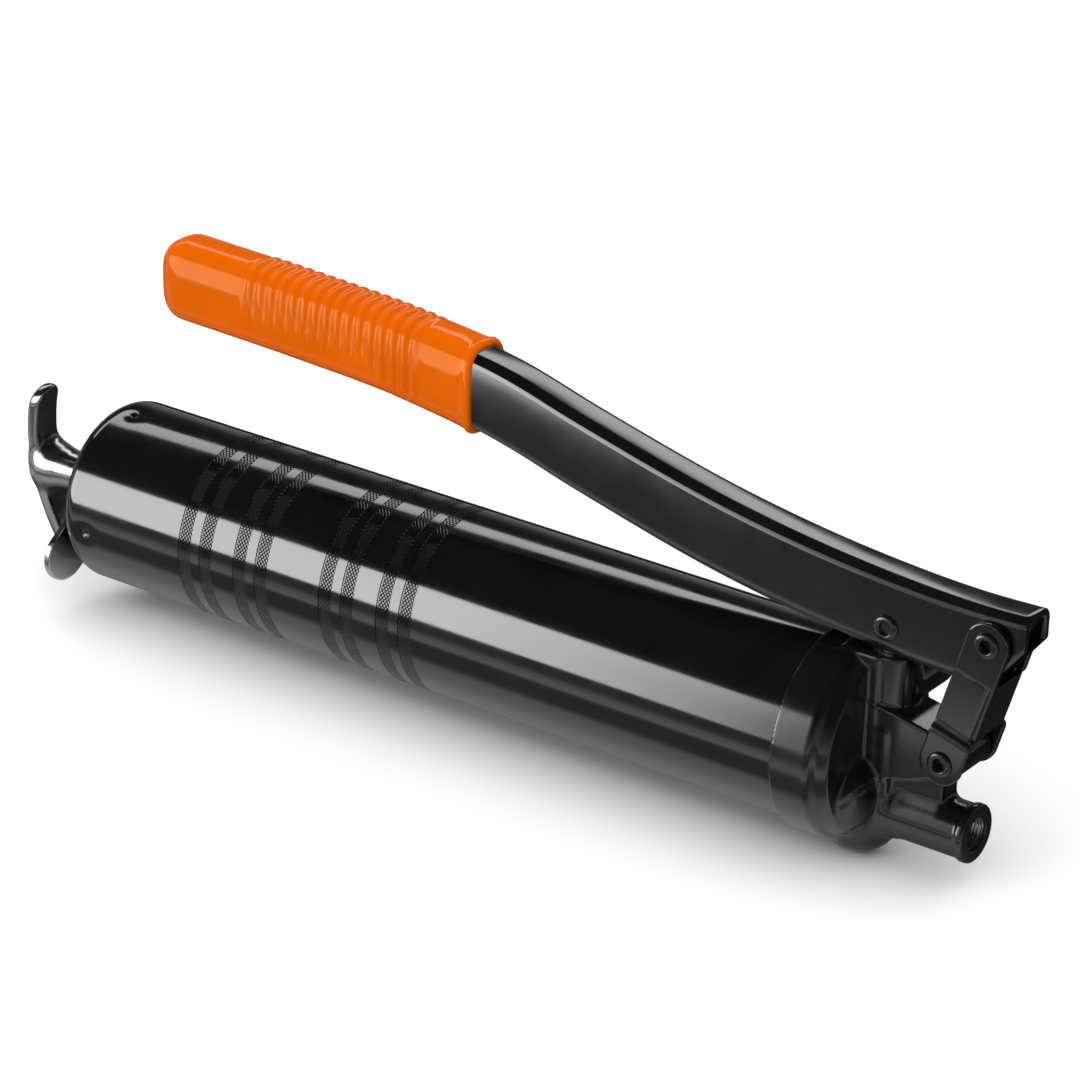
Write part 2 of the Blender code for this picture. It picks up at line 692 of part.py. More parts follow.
# ---- lever, link and pins -------------------------------------------------------------------
def lever_depth(x):
    """The channel is shallower inside the grip."""
    share = min(1.0, max(0.0, (x + 40.0 * MM) / (45.0 * MM)))
    return LEVER_DEPTH_REAR + (LEVER_DEPTH - LEVER_DEPTH_REAR) * share


def lever_top():
    return [(x * MM, z * MM) for x, z in smooth_line(LEVER_TOP, 3)]


def lever_outline(top):
    bottom = [(x, z - lever_depth(x)) for x, z in reversed(top)]
    front = [(LEVER_FRONT_X, 79.2 * MM), (170.9 * MM, 67.1 * MM)]
    return top + front + [p for p in bottom if p[0] < 168 * MM]


def lever():
    top = lever_top()
    body = slab("lever", lever_outline(top), LEVER_HALF)
    line = {round(x, 5): z for x, z in top}

    def on_top(a, b):
        ends = [line.get(round(p.x, 5)) for p in (a, b)]
        same_side = abs(a.z - b.z) < MM
        return same_side and all(z is not None and abs(z - p.y) < MM for z, p in zip(ends, (a, b)))

    soften_edges(body, 3.2 * MM, 4, on_top)
    hollow_top = [(x, z - LEVER_WALL) for x, z in top]
    hollow_top[0] = (-135 * MM, hollow_top[0][1])
    hollow_top[-1] = (190 * MM, hollow_top[-1][1])
    hollow_outline = hollow_top + [(190 * MM, 40 * MM), (-135 * MM, 40 * MM)]
    hollow = slab("lever_hollow", hollow_outline, LEVER_HALF - LEVER_WALL)
    hole = [
        cylinder("lever_hole_%d" % i, PIN_HOLE_R, -10 * MM, 10 * MM, at(p[0], 0, p[1], ALONG_Y))
        for i, p in enumerate((PLUNGER_PIVOT, LEVER_PIVOT))
    ]
    cut(body, hollow, *hole)
    finish(body, BLACK, 0.2)


def grip():
    """Sleeve over the rear of the lever, closed at its rear end and open at the front."""
    top = [(x, z) for x, z in lever_top() if x < GRIP_FRONT_X]
    rise = (top[-1][1] - top[-2][1]) / (top[-1][0] - top[-2][0])
    front_z = top[-1][1] + rise * (GRIP_FRONT_X - top[-1][0])
    outer_top = [(x, z + GRIP_WALL) for x, z in top[1:]] + [(GRIP_FRONT_X, front_z + GRIP_WALL)]
    outer_bottom = [(x, z - 2 * GRIP_WALL - lever_depth(x)) for x, z in reversed(outer_top)]
    high, low = top[0][1] + GRIP_WALL, top[0][1] - GRIP_WALL - LEVER_DEPTH_REAR
    round_r = 8.0 * MM
    rear = arc((GRIP_REAR_X + round_r, low + round_r), round_r, 270, 180, 4)
    rear += arc((GRIP_REAR_X + round_r, high - round_r), round_r, 180, 90, 4)
    half = LEVER_HALF + GRIP_WALL
    body = slab("grip", outer_top + outer_bottom + rear, half)
    soften_edges(body, 4.0 * MM, 3, lambda a, b: min(a.x, b.x) < GRIP_FRONT_X - MM)
    clear = GAP
    inner_top = [(x, z + clear) for x, z in top] + [(GRIP_FRONT_X + 5 * MM, front_z + 5 * rise * MM + clear)]
    inner_top[0] = (top[0][0] - clear, inner_top[0][1])
    inner_bottom = [(x, z - lever_depth(x) - 2 * clear) for x, z in reversed(inner_top)]
    hollow = slab("grip_hollow", inner_top + inner_bottom, LEVER_HALF + clear)
    cut(body, hollow)
    finish(body, (0.85, 0.22, 0.0), 0.22)


def link_place():
    """Local Z runs from the link pin up to the lever pin, local X towards the web."""
    return at(LINK_PIVOT[0], 0, LINK_PIVOT[1], Matrix.Rotation(LINK_LEAN, 4, "Y"))


def link():
    place = link_place()
    half = LINK_HALF_WIDTH
    low, high = -8 * MM, LINK_LENGTH + 8 * MM
    step_low, step_high = 8.2 * MM, 11.4 * MM
    ear = [
        (LOWER_EAR_Y, low), (LOWER_EAR_Y, step_low), (UPPER_EAR_Y, step_high), (UPPER_EAR_Y, high),
        (UPPER_EAR_Y - LINK_WALL, high), (UPPER_EAR_Y - LINK_WALL, step_high - 0.4 * MM),
        (LOWER_EAR_Y - LINK_WALL, step_low - 0.4 * MM), (LOWER_EAR_Y - LINK_WALL, low),
    ]
    across = place @ Matrix.Rotation(math.radians(90), 4, "Z") @ ALONG_Y
    near = slab("link", [(-y, z) for y, z in ear], half, across)
    far = slab("link_far_ear", ear, half, across)
    web = box("link_web", (half - LINK_WALL, -UPPER_EAR_Y + 0.05 * MM, WEB_LOW),
              (half - 0.02 * MM, UPPER_EAR_Y - 0.05 * MM, WEB_HIGH), place)
    soften(web, 0.7 * MM, 1)
    rounded = arc((0, LINK_LENGTH), half, 0, 180, 12) + arc((0, 0), half, 180, 360, 12)
    mask = slab("link_ends", rounded, 20 * MM, place @ ALONG_Y)
    join(near, far, web)
    boolean(near, "INTERSECT", mask)
    for i, height in enumerate((0.0, LINK_LENGTH)):
        hole_place = place @ at(0, 0, height, ALONG_Y)
        cut(near, cylinder("link_hole_%d" % i, PIN_HOLE_R, -15 * MM, 15 * MM, hole_place))
    finish(near, BLACK, 0.25)


def rivet(name, pivot, reach):
    """Hollow-ended rivet: reach is the distance from the middle to the inner side of each head."""
    grip_end = reach + 0.1 * MM
    tip = grip_end + PIN_HEAD_T
    profile = [
        (0.0, tip - 2.6 * MM),
        (1.7 * MM, tip - 2.6 * MM),
        (1.9 * MM, tip - 0.2 * MM),
        (2.4 * MM, tip),
        (PIN_HEAD_R - 0.5 * MM, tip),
        (PIN_HEAD_R, tip - 0.5 * MM),
        (PIN_HEAD_R, grip_end),
        (PIN_R, grip_end),
    ]
    profile += [(r, -h) for r, h in reversed(profile)]
    pin = turned(name, profile, at(pivot[0], 0, pivot[1], ALONG_Y), SMALL)
    finish(pin, (0.05, 0.05, 0.05), 0.25, 0.6)


def pins():
    rivet("plunger_pin", PLUNGER_PIVOT, LEVER_HALF)
    rivet("lever_pin", LEVER_PIVOT, UPPER_EAR_Y)
    rivet("link_pin", LINK_PIVOT, LOWER_EAR_Y)
    half = LEVER_HALF - LEVER_WALL - 0.2 * MM
    bush = [(4.0 * MM, half), (4.0 * MM, -half), (PIN_HOLE_R, -half), (PIN_HOLE_R, half)]
    place = at(LEVER_PIVOT[0], 0, LEVER_PIVOT[1], ALONG_Y)
    finish(turned("fulcrum_bush", bush, place, SMALL), STEEL, 0.3, 1.0)



# ---- pivots -------------------------------------------------------------------------------
def pivot(name, place, *nodes):
    """An empty on a joint's axis, which carries the pieces that move about or along it."""
    empty = bpy.data.objects.new(name, None)
    empty.empty_display_size = 5 * MM
    empty.location = place
    PARTS.objects.link(empty)
    for node in nodes:
        thing = bpy.data.objects[node]
        thing.parent = empty
        thing.matrix_parent_inverse = Matrix.Translation(place).inverted()


def pivots():
    across = LATCH_FULCRUM * Vector((0, math.cos(LATCH_ANGLE), math.sin(LATCH_ANGLE)))
    latch_hinge = Vector((LATCH_PIVOT_X, 0, AXIS_Z)) + across
    lever_hinge = (LEVER_PIVOT[0], 0, LEVER_PIVOT[1])
    piston_parts = ("piston_rear_plate", "piston_cup", "piston_front_plate", "piston_nut")
    pivot("link_axis", (LINK_PIVOT[0], 0, LINK_PIVOT[1]), "link", "lever_pin")
    pivot("lever_axis", lever_hinge, "lever", "grip", "plunger_pin", "fulcrum_bush")
    pivot("plunger_axis", (PUMP_X, 0, COLUMN_TOP_Z), "plunger")
    pivot("piston_axis", (PISTON_X, 0, AXIS_Z), *piston_parts)
    pivot("rod_axis", (HANDLE_PIN_X, 0, AXIS_Z), "follower_rod", "pull_handle", "handle_pin")
    pivot("latch_axis", latch_hinge, "rod_latch")
    pivot("ball_axis", (BALL_X, 0, OUTLET_Z), "check_ball")


barrel()
rear_cap()
rod_latch()
latch_spring()
pull_handle()
handle_pin()
follower_rod()
piston()
follower_spring()
pump_head()
head_seals()
bleed_valve()
check_valve()
plunger()
lever()
grip()
link()
pins()
pivots()
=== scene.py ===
"""Looks of the lever grease gun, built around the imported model, in the model's frame.

Sizes below are in millimetres, as on a workshop drawing, and every mesh is scaled to metres
when it is made. The barrel lies along X with its axis AXIS_Z above the floor.
"""

import json
import math

import bmesh
import bpy
import numpy as np
from mathutils import Matrix, Vector

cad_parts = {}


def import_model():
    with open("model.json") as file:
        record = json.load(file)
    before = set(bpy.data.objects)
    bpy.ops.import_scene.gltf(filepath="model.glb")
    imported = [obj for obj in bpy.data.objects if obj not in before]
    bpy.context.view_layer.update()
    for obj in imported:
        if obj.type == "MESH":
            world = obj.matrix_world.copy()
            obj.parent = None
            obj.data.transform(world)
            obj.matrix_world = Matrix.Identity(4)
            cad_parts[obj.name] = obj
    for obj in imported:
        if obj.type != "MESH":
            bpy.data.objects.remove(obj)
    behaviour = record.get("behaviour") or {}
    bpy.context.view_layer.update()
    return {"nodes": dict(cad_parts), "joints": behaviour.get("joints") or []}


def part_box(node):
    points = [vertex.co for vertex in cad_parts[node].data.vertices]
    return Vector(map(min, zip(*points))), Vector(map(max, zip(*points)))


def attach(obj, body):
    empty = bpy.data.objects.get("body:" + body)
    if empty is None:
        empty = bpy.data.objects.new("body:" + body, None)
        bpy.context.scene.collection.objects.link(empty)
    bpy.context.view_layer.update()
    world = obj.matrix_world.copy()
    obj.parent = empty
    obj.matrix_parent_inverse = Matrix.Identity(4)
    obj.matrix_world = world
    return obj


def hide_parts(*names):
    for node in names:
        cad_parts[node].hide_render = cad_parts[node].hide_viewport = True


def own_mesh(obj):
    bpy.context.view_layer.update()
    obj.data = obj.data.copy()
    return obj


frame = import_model()

MM = 0.001


def box_mm(node):
    low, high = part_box(node)
    return np.array(low) / MM, np.array(high) / MM


def joint_mm(name):
    place = next(j for j in frame["joints"] if j["name"] == name)["pos_m"]
    return np.array(place) / MM


BARREL_LOW, BARREL_HIGH = box_mm("barrel")
AXIS_Z = (BARREL_LOW[2] + BARREL_HIGH[2]) / 2
BARREL_R = (BARREL_HIGH[2] - BARREL_LOW[2]) / 2
HEAD_LOW, HEAD_HIGH = box_mm("pump_head")
LINK_PIVOT = joint_mm("link_rock")
LEVER_PIVOT = joint_mm("lever_swing")
PLUNGER_LOW, PLUNGER_HIGH = box_mm("plunger")
PUMP_X = (PLUNGER_LOW[0] + PLUNGER_HIGH[0]) / 2
PLUNGER_PIVOT_Z = (box_mm("plunger_pin")[0][2] + box_mm("plunger_pin")[1][2]) / 2
RETAINER_LOW, RETAINER_HIGH = box_mm("valve_retainer")
OUTLET_Z = (RETAINER_LOW[2] + RETAINER_HIGH[2]) / 2


# ---- meshes ------------------------------------------------------------------------
def make_mesh(name, points, faces, smooth_angle=40):
    mesh = bpy.data.meshes.new(name)
    mesh.from_pydata([tuple(p) for p in np.asarray(points) * MM], [], [tuple(f) for f in faces])
    mesh.validate()
    bm = bmesh.new()
    bm.from_mesh(mesh)
    bmesh.ops.recalc_face_normals(bm, faces=bm.faces)
    bm.to_mesh(mesh)
    bm.free()
    thing = bpy.data.objects.new(name, mesh)
    bpy.context.scene.collection.objects.link(thing)
    mesh.shade_smooth()
    if smooth_angle < 180:
        mesh.set_sharp_from_angle(angle=math.radians(smooth_angle))
    return thing


def piece(thing, body, slot, finish, *nodes):
    """A finished piece rides on its body, takes its finish and stands for the CAD nodes named; slot is not
    used.
    """
    thing.data.materials.clear()
    thing.data.materials.append(finish)
    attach(thing, body)
    if nodes:
        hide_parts(*nodes)
    return thing


def along_x(points, z=0.0):
    """Turns points made about local Z (x, y, height) so that the height runs along X."""
    p = np.asarray(points, float)
    return np.column_stack([p[:, 2], p[:, 0], p[:, 1] + z])


def along_y(points, x=0.0, z=0.0):
    """The same for a height that runs along +Y."""
    p = np.asarray(points, float)
    return np.column_stack([p[:, 0] + x, p[:, 2], -p[:, 1] + z])


def arc(centre, radius, first, last, steps):
    """Points of an arc between two angles in degrees."""
    angles = np.radians(np.linspace(first, last, steps + 1))
    return [(centre[0] + radius * math.cos(a), centre[1] + radius * math.sin(a)) for a in angles]


def revolve(profile, steps):
    """Points and faces of a closed profile of (radius, height) turned about Z; radius 0 is the axis."""
    ring = arc((0, 0), 1, 0, 360, steps)[:-1]
    points, rows = [], []
    for r, h in profile:
        if r < 1e-6:
            rows.append([len(points)] * steps)
            points.append((0, 0, h))
        else:
            rows.append(list(range(len(points), len(points) + steps)))
            points += [(r * c, r * s, h) for c, s in ring]
    faces = []
    for row, after in zip(rows, rows[1:] + rows[:1]):
        for i in range(steps):
            k = (i + 1) % steps
            corner = list(dict.fromkeys((row[i], row[k], after[k], after[i])))
            if len(corner) > 2:
                faces.append(corner)
    return points, faces


NEARLY_STRAIGHT = math.radians(165)


def rounded(profile, radius, steps=3):
    """The closed profile with each corner between two longer sides turned into an arc."""
    made = []
    count = len(profile)
    for i in range(count):
        a, b, c = (np.array(profile[(i + j) % count], float) for j in (-1, 0, 1))
        u, v = a - b, c - b
        lu, lv = np.linalg.norm(u), np.linalg.norm(v)
        if b[0] < 1e-6 or min(lu, lv) < 1e-6:
            made.append(tuple(b))
            continue
        u, v = u / lu, v / lv
        turn = math.acos(float(np.clip(u @ v, -1, 1)))
        if turn > NEARLY_STRAIGHT:
            made.append(tuple(b))
            continue
        reach = min(radius / math.tan(turn / 2), 0.45 * lu, 0.45 * lv)
        r = reach * math.tan(turn / 2)
        middle = b + (u + v) / np.linalg.norm(u + v) * (r / math.sin(turn / 2))
        start, end = b + u * reach - middle, b + v * reach - middle
        a0 = math.atan2(start[1], start[0])
        sweep = (math.atan2(end[1], end[0]) - a0 + math.pi) % (2 * math.pi) - math.pi
        for k in range(steps + 1):
            angle = a0 + sweep * k / steps
            made.append((middle[0] + r * math.cos(angle), middle[1] + r * math.sin(angle)))
    return made


def turned(name, profile, place, steps=96, edge=0.3, **where):
    """A turned part whose corners are rounded to the edge radius."""
    points, faces = revolve(rounded(profile, edge), steps)
    return make_mesh(name, place(points, **where), faces)


def loft(sections, closed_ends=True):
    """Points and faces through rings that all have the same number of points."""
    count = len(sections[0])
    points = [p for ring in sections for p in ring]
    faces = []
    for i in range(len(sections) - 1):
        for j in range(count):
            k = (j + 1) % count
            faces.append((i * count + j, i * count + k, (i + 1) * count + k, (i + 1) * count + j))
    if closed_ends:
        faces.append(tuple(range(count))[::-1])
        faces.append(tuple((len(sections) - 1) * count + j for j in range(count)))
    return points, faces


def closed_loft(sections):
    """The same with the last ring joined back to the first."""
    points, faces = loft(sections + sections[:1], closed_ends=False)
    count = len(sections) * len(sections[0])
    return [tuple(p) for p in points[:count]], [tuple(v % count for v in face) for face in faces]


def coil_mesh(name, start, end, radius, wire, turns, per_turn, dead_turns=1.0, z=0.0):
    """A coil spring along X whose end turns lie close and flat."""
    close = 2.1 * wire * dead_turns  # rise of the end turns
    rise = end - start
    turn = np.linspace(0, turns, int(turns * per_turn) + 1)
    knots = (0, dead_turns, turns - dead_turns, turns)
    height = start + np.interp(turn, knots, (0, close, rise - close, rise))
    angle = 2 * math.pi * turn
    path = np.column_stack([radius * np.cos(angle), radius * np.sin(angle), height])
    around = np.arange(8) * math.pi / 4
    sections = []
    for i, p in enumerate(path):
        ahead = path[min(i + 1, len(path) - 1)] - path[max(i - 1, 0)]
        ahead /= np.linalg.norm(ahead)
        out = p * (1, 1, 0)
        out /= np.linalg.norm(out)
        side = np.cross(ahead, out)
        sections.append([p + wire * (math.cos(a) * out + math.sin(a) * side) for a in around])
    points, faces = loft(sections)
    return make_mesh(name, along_x(points, z=z), faces, 60)


# ---- distance fields, for castings and pressings with fillets ---------------------------
def smin(a, b, k):
    """Union of two fields with a fillet that is k wide."""
    h = np.maximum(k - np.abs(a - b), 0) / k
    return np.minimum(a, b) - h * h * k / 4


def smax(a, b, k):
    """Intersection of two fields with an edge that is k wide."""
    return -smin(-a, -b, k)


def corner_join(a, b, r):
    """Intersection of two slabs with their shared edge rounded to radius r."""
    a, b = a + r, b + r
    return np.minimum(np.maximum(a, b), 0) + np.hypot(np.maximum(a, 0), np.maximum(b, 0)) - r


def ball(p, centre, radius):
    return np.sqrt(sum((c - m) ** 2 for c, m in zip(p, centre))) - radius


def rod(across, along, radius, start, end, edge):
    """A cylinder from its distance to the axis and the place along it."""
    return corner_join(across - radius, np.abs(along - (start + end) / 2) - (end - start) / 2, edge)


def block(p, low, high, edge):
    q = [np.abs(c - (a + b) / 2) - (b - a) / 2 + edge for c, a, b in zip(p, low, high)]
    inside = np.minimum(np.maximum(np.maximum(q[0], q[1]), q[2]), 0)
    return inside + np.sqrt(sum(np.maximum(c, 0) ** 2 for c in q)) - edge


def outline_field(u, v, outline):
    """Signed distance in a plane to a polygon."""
    best = np.full(u.shape, 1e9)
    inside = np.zeros(u.shape, bool)
    for i in range(len(outline)):
        (ax, ay), (bx, by) = outline[i - 1], outline[i]
        ex, ey = bx - ax, by - ay
        wx, wy = u - ax, v - ay
        t = np.clip((wx * ex + wy * ey) / (ex * ex + ey * ey), 0, 1)
        best = np.minimum(best, (wx - ex * t) ** 2 + (wy - ey * t) ** 2)
        crosses = (ay > v) != (by > v)
        if abs(ey) > 1e-9:
            inside ^= crosses & (u < ax + ex * (v - ay) / ey)
    return np.where(inside, -1, 1) * np.sqrt(best)


CUBE = [(i, j, k) for i in (0, 1) for j in (0, 1) for k in (0, 1)]
CUBE_EDGES = [(a, b) for a in CUBE for b in CUBE if a < b and sum(abs(p - q) for p, q in zip(a, b)) == 1]


def field_mesh(field, low, high, step):
    """Points and quads of the surface where the field is zero, one point per crossed cell."""
    axes = [np.arange(a - step, b + 2 * step, step) for a, b in zip(low, high)]
    shape = [len(a) for a in axes]
    values = np.empty(shape)
    for i, x in enumerate(axes[0]):
        y, z = np.meshgrid(axes[1], axes[2], indexing="ij")
        values[i] = field(np.full(y.shape, x), y, z)
    values[np.abs(values) < 1e-9] = 1e-9
    cells = [n - 1 for n in shape]
    total = np.zeros((*cells, 3))
    hits = np.zeros(cells)

    def corner(c):
        return values[c[0]:c[0] + cells[0], c[1]:c[1] + cells[1], c[2]:c[2] + cells[2]]

    for a, b in CUBE_EDGES:
        fa, fb = corner(a), corner(b)
        crossed = (fa < 0) != (fb < 0)
        t = np.where(crossed, fa / np.where(crossed, fa - fb, 1), 0)
        for axis in range(3):
            total[..., axis] += np.where(crossed, a[axis] + t * (b[axis] - a[axis]), 0)
        hits += crossed
    used = hits > 0
    number = np.full(cells, -1)
    number[used] = np.arange(used.sum())
    base = np.argwhere(used)
    points = (base + total[used] / hits[used][:, None]) * step + [a[0] for a in axes]
    quads = []
    inside = values < 0
    for axis in range(3):
        u, v = [a for a in range(3) if a != axis]
        first = [slice(1, -1)] * 3
        first[axis] = slice(0, -1)
        second = list(first)
        second[axis] = slice(1, None)
        here, there = inside[tuple(first)], inside[tuple(second)]
        for flip in (False, True):
            found = np.argwhere((here != there) & (here == flip))
            found[:, [u, v]] += 1
            around = []
            for du, dv in ((0, 0), (-1, 0), (-1, -1), (0, -1)):
                cell = found.copy()
                cell[:, u] += du
                cell[:, v] += dv
                around.append(number[cell[:, 0], cell[:, 1], cell[:, 2]])
            quad = np.stack(around, 1)
            quads.append(quad if flip != (axis == 1) else quad[:, ::-1])
    for _ in range(3):
        points = settled(field, points, step)
    return points, np.concatenate(quads)


def settled(field, points, step, probe=0.02):
    """Points moved along the field's slope on to the surface."""
    nudges = probe * np.eye(3)
    slope = np.stack([field(*(points + d).T) - field(*(points - d).T) for d in nudges], 1) / (2 * probe)
    steep = np.maximum((slope**2).sum(1), 0.25)
    return points - np.clip(field(*points.T) / steep, -step / 3, step / 3)[:, None] * slope


# ---- materials ------------------------------------------------------------------------
class Nodes:
    """Short calls for building one material's nodes."""

    def __init__(self, name, colour, roughness, metallic=0.0):
        self.material = bpy.data.materials.new(name)
        self.material.use_nodes = True
        self.tree = self.material.node_tree
        self.shader = self.tree.nodes["Principled BSDF"]
        self.shader.inputs["Base Color"].default_value = (*colour, 1)
        self.shader.inputs["Roughness"].default_value = roughness
        self.shader.inputs["Metallic"].default_value = metallic
        self.place = self.tree.nodes.new("ShaderNodeTexCoord").outputs["Object"]

    def link(self, a, b):
        self.tree.links.new(a, b)

    def noise(self, scale, detail=2.0, stretch=(1, 1, 1)):
        move = self.tree.nodes.new("ShaderNodeMapping")
        move.inputs["Scale"].default_value = stretch
        self.link(self.place, move.inputs["Vector"])
        node = self.tree.nodes.new("ShaderNodeTexNoise")
        node.inputs["Scale"].default_value = scale
        node.inputs["Detail"].default_value = detail
        self.link(move.outputs["Vector"], node.inputs["Vector"])
        return node.outputs["Fac"]

    def spread(self, source, low, high, start=0.3, end=0.7):
        node = self.tree.nodes.new("ShaderNodeMapRange")
        for key, value in (("From Min", start), ("From Max", end), ("To Min", low), ("To Max", high)):
            node.inputs[key].default_value = value
        self.link(source, node.inputs["Value"])
        return node.outputs["Result"]

    def colours(self, source, low, high):
        node = self.tree.nodes.new("ShaderNodeMix")
        node.data_type = "RGBA"
        node.inputs["A"].default_value = (*low, 1)
        node.inputs["B"].default_value = (*high, 1)
        self.link(source, node.inputs["Factor"])
        self.link(node.outputs["Result"], self.shader.inputs["Base Color"])

    def rough(self, source):
        self.link(source, self.shader.inputs["Roughness"])

    def bump(self, *layers):
        """Layers of (height source, depth in mm)."""
        normal = None
        for source, depth in layers:
            node = self.tree.nodes.new("ShaderNodeBump")
            node.inputs["Strength"].default_value = 1.0
            node.inputs["Distance"].default_value = depth * MM
            self.link(source, node.inputs["Height"])
            if normal:
                self.link(normal, node.inputs["Normal"])
            normal = node.outputs["Normal"]
        self.link(normal, self.shader.inputs["Normal"])


def black_paint(name, roughness, peel, cast=0.0):
    """Black coating with orange peel, faint handling haze and, on a casting, soft lumps below it."""
    n = Nodes(name, (0.003, 0.003, 0.003), roughness)
    n.colours(n.spread(n.noise(60, 4), 0, 1), (0.002, 0.002, 0.002), (0.004, 0.004, 0.004))
    n.rough(n.spread(n.noise(90, 5), roughness * 0.85, roughness * 1.25))
    n.shader.inputs["Specular IOR Level"].default_value = 1.0
    layers = [(n.noise(420, 1), peel)]
    if cast:
        layers.append((n.noise(170, 2), cast))
    n.bump(*layers)
    return n.material


def bare_metal(name, colour, roughness, brushed=(1, 1, 1), depth=0.004):
    """Metal with uneven shine; brushed stretches the marks and depth is theirs in mm."""
    n = Nodes(name, colour, roughness, 1.0)
    dark = tuple(c * 0.82 for c in colour)
    n.colours(n.spread(n.noise(120, 4, brushed), 0, 1), dark, colour)
    n.rough(n.spread(n.noise(260, 4, brushed), roughness * 0.75, roughness * 1.35))
    n.bump((n.noise(900, 3, brushed), depth))
    return n.material


def vinyl(name):
    """Dipped vinyl: slightly uneven colour and thickness, and a warm gloss."""
    n = Nodes(name, (0.62, 0.13, 0.0), 0.12)
    n.colours(n.spread(n.noise(45, 3), 0, 1), (0.58, 0.092, 0.0), (0.64, 0.105, 0.0))
    n.shader.inputs["Specular IOR Level"].default_value = 0.2
    n.shader.inputs["Specular Tint"].default_value = (1.0, 0.9, 0.3, 1.0)
    n.rough(n.spread(n.noise(110, 4), 0.08, 0.14))
    n.bump((n.noise(300, 2), 0.004), (n.noise(50, 1), 0.05))
    n.shader.inputs["Subsurface Weight"].default_value = 0.03
    n.shader.inputs["Subsurface Scale"].default_value = 0.001
    n.shader.inputs["Subsurface Radius"].default_value = (1.0, 0.35, 0.1)
    return n.material


def rubber(name):
    """Dull moulded rubber with a fine grain."""
    n = Nodes(name, (0.02, 0.02, 0.02), 0.6)
    n.colours(n.spread(n.noise(200, 4), 0, 1), (0.014, 0.014, 0.014), (0.03, 0.03, 0.03))
    n.rough(n.spread(n.noise(300, 3), 0.5, 0.72))
    n.bump((n.noise(1500, 3), 0.02))
    return n.material


BARREL_PAINT = black_paint("barrel_paint", 0.1, 0.0006)
HEAD_PAINT = black_paint("head_paint", 0.17, 0.003, 0.02)
LEVER_PAINT = black_paint("lever_paint", 0.13, 0.0006)
RIVET_BLACK = black_paint("rivet_black", 0.2, 0.002)
GRIP_VINYL = vinyl("grip_vinyl")
CAST_METAL = bare_metal("cast_metal", (0.4, 0.4, 0.39), 0.2, depth=0.006)
ZINC = bare_metal("zinc", (0.55, 0.55, 0.53), 0.17)
STEEL = bare_metal("steel", (0.5, 0.5, 0.5), 0.3)
ROD_STEEL = bare_metal("rod_steel", (0.68, 0.68, 0.68), 0.16, (1, 12, 12))
PLUNGER_STEEL = bare_metal("plunger_steel", (0.22, 0.22, 0.22), 0.16)
SPRING_WIRE = bare_metal("spring_wire", (0.45, 0.45, 0.46), 0.28)
BRASS = bare_metal("brass", (0.78, 0.58, 0.25), 0.25)
BALL = bare_metal("polished_ball", (0.72, 0.72, 0.72), 0.06, depth=0.0005)
CUT_THREAD = bare_metal("cut_thread", (0.42, 0.42, 0.42), 0.25)
SEAL = rubber("seal_rubber")


# ---- barrel ---------------------------------------------------------------------------
COLUMNS = 384
WALL = 1.2
BAND_WIDTH = 4.8
BAND_GAP = 3.4
PAIR_GAP = 8.5
BAND_STARTS = (-99.2, -44.8)  # where each group of four bands begins
GROOVE_DEPTH = 0.3
DIAMONDS_AROUND = 124
DIAMONDS_ACROSS = 4
DIAMOND_LEVELS = ((1.0, 0.3), (0.84, 0.1), (0.58, 0.0))  # share of the pitch, depth below the tube
DENT_X = -137.3
DENT_ANGLE = math.radians(-7.8)  # from -Y towards +Z, and every quarter turn from it
DENT_HOLLOW = (0.5, 3.4)  # depth and radius
DENT_PUNCH = (0.8, 1.05, 0.16)  # depth, radius and softness of the edge
REAR_ROUND = 6.0
REAR_OPENING = 16.0
DENTED_END = -130.0  # the dents lie behind this x
GROOVE_SIDE = 0.12
GUARD = 0.6  # distance of the rings that keep the shading beside a band even


def band_starts():
    starts = []
    for start in BAND_STARTS:
        for pair in range(2):
            first = start + pair * (2 * BAND_WIDTH + BAND_GAP + PAIR_GAP)
            starts += [first, first + BAND_WIDTH + BAND_GAP]
    return starts


def dent_depth(x, angle):
    """Punched dents: a small round hole in a soft hollow."""
    turn = (angle - DENT_ANGLE + math.pi / 4) % (math.pi / 2) - math.pi / 4
    away = np.hypot(x - DENT_X, turn * BARREL_R)
    depth, radius = DENT_HOLLOW
    punch, punch_radius, soft = DENT_PUNCH
    return depth * np.exp(-((away / radius) ** 2)) + punch / (1 + np.exp((away - punch_radius) / soft))


def barrel_ring(x, radius, dented=False):
    angle = np.arange(COLUMNS) * 2 * math.pi / COLUMNS
    if dented:
        radius = radius - dent_depth(x, angle)
    return np.column_stack([
        np.full(COLUMNS, x), -radius * np.cos(angle), AXIS_Z + radius * np.sin(angle)
    ])


def diamonds(start, first):
    """Flat-topped diamonds of one knurled band, as loose frustums; first is the next point number."""
    turn, length = 2 * math.pi / DIAMONDS_AROUND, BAND_WIDTH / DIAMONDS_ACROSS
    points, faces = [], []
    for row in range(1, 2 * DIAMONDS_ACROSS):
        shift = 0.5 * (row % 2)
        for column in range(DIAMONDS_AROUND):
            n = first + len(points)
            for share, depth in DIAMOND_LEVELS:
                radius = BARREL_R - depth
                for du, dx in ((-0.5, 0), (0, 0.5), (0.5, 0), (0, -0.5)):
                    a = (column + shift + du * share) * turn
                    x = start + (row / 2 + dx * share) * length
                    points.append((x, -radius * math.cos(a), AXIS_Z + radius * math.sin(a)))
            faces.append((n + 8, n + 9, n + 10, n + 11))
            faces.append((n + 3, n + 2, n + 1, n))
            for low in (n, n + 4):
                faces += [(low + i, low + (i + 1) % 4, low + 4 + (i + 1) % 4, low + 4 + i) for i in range(4)]
    return points, faces


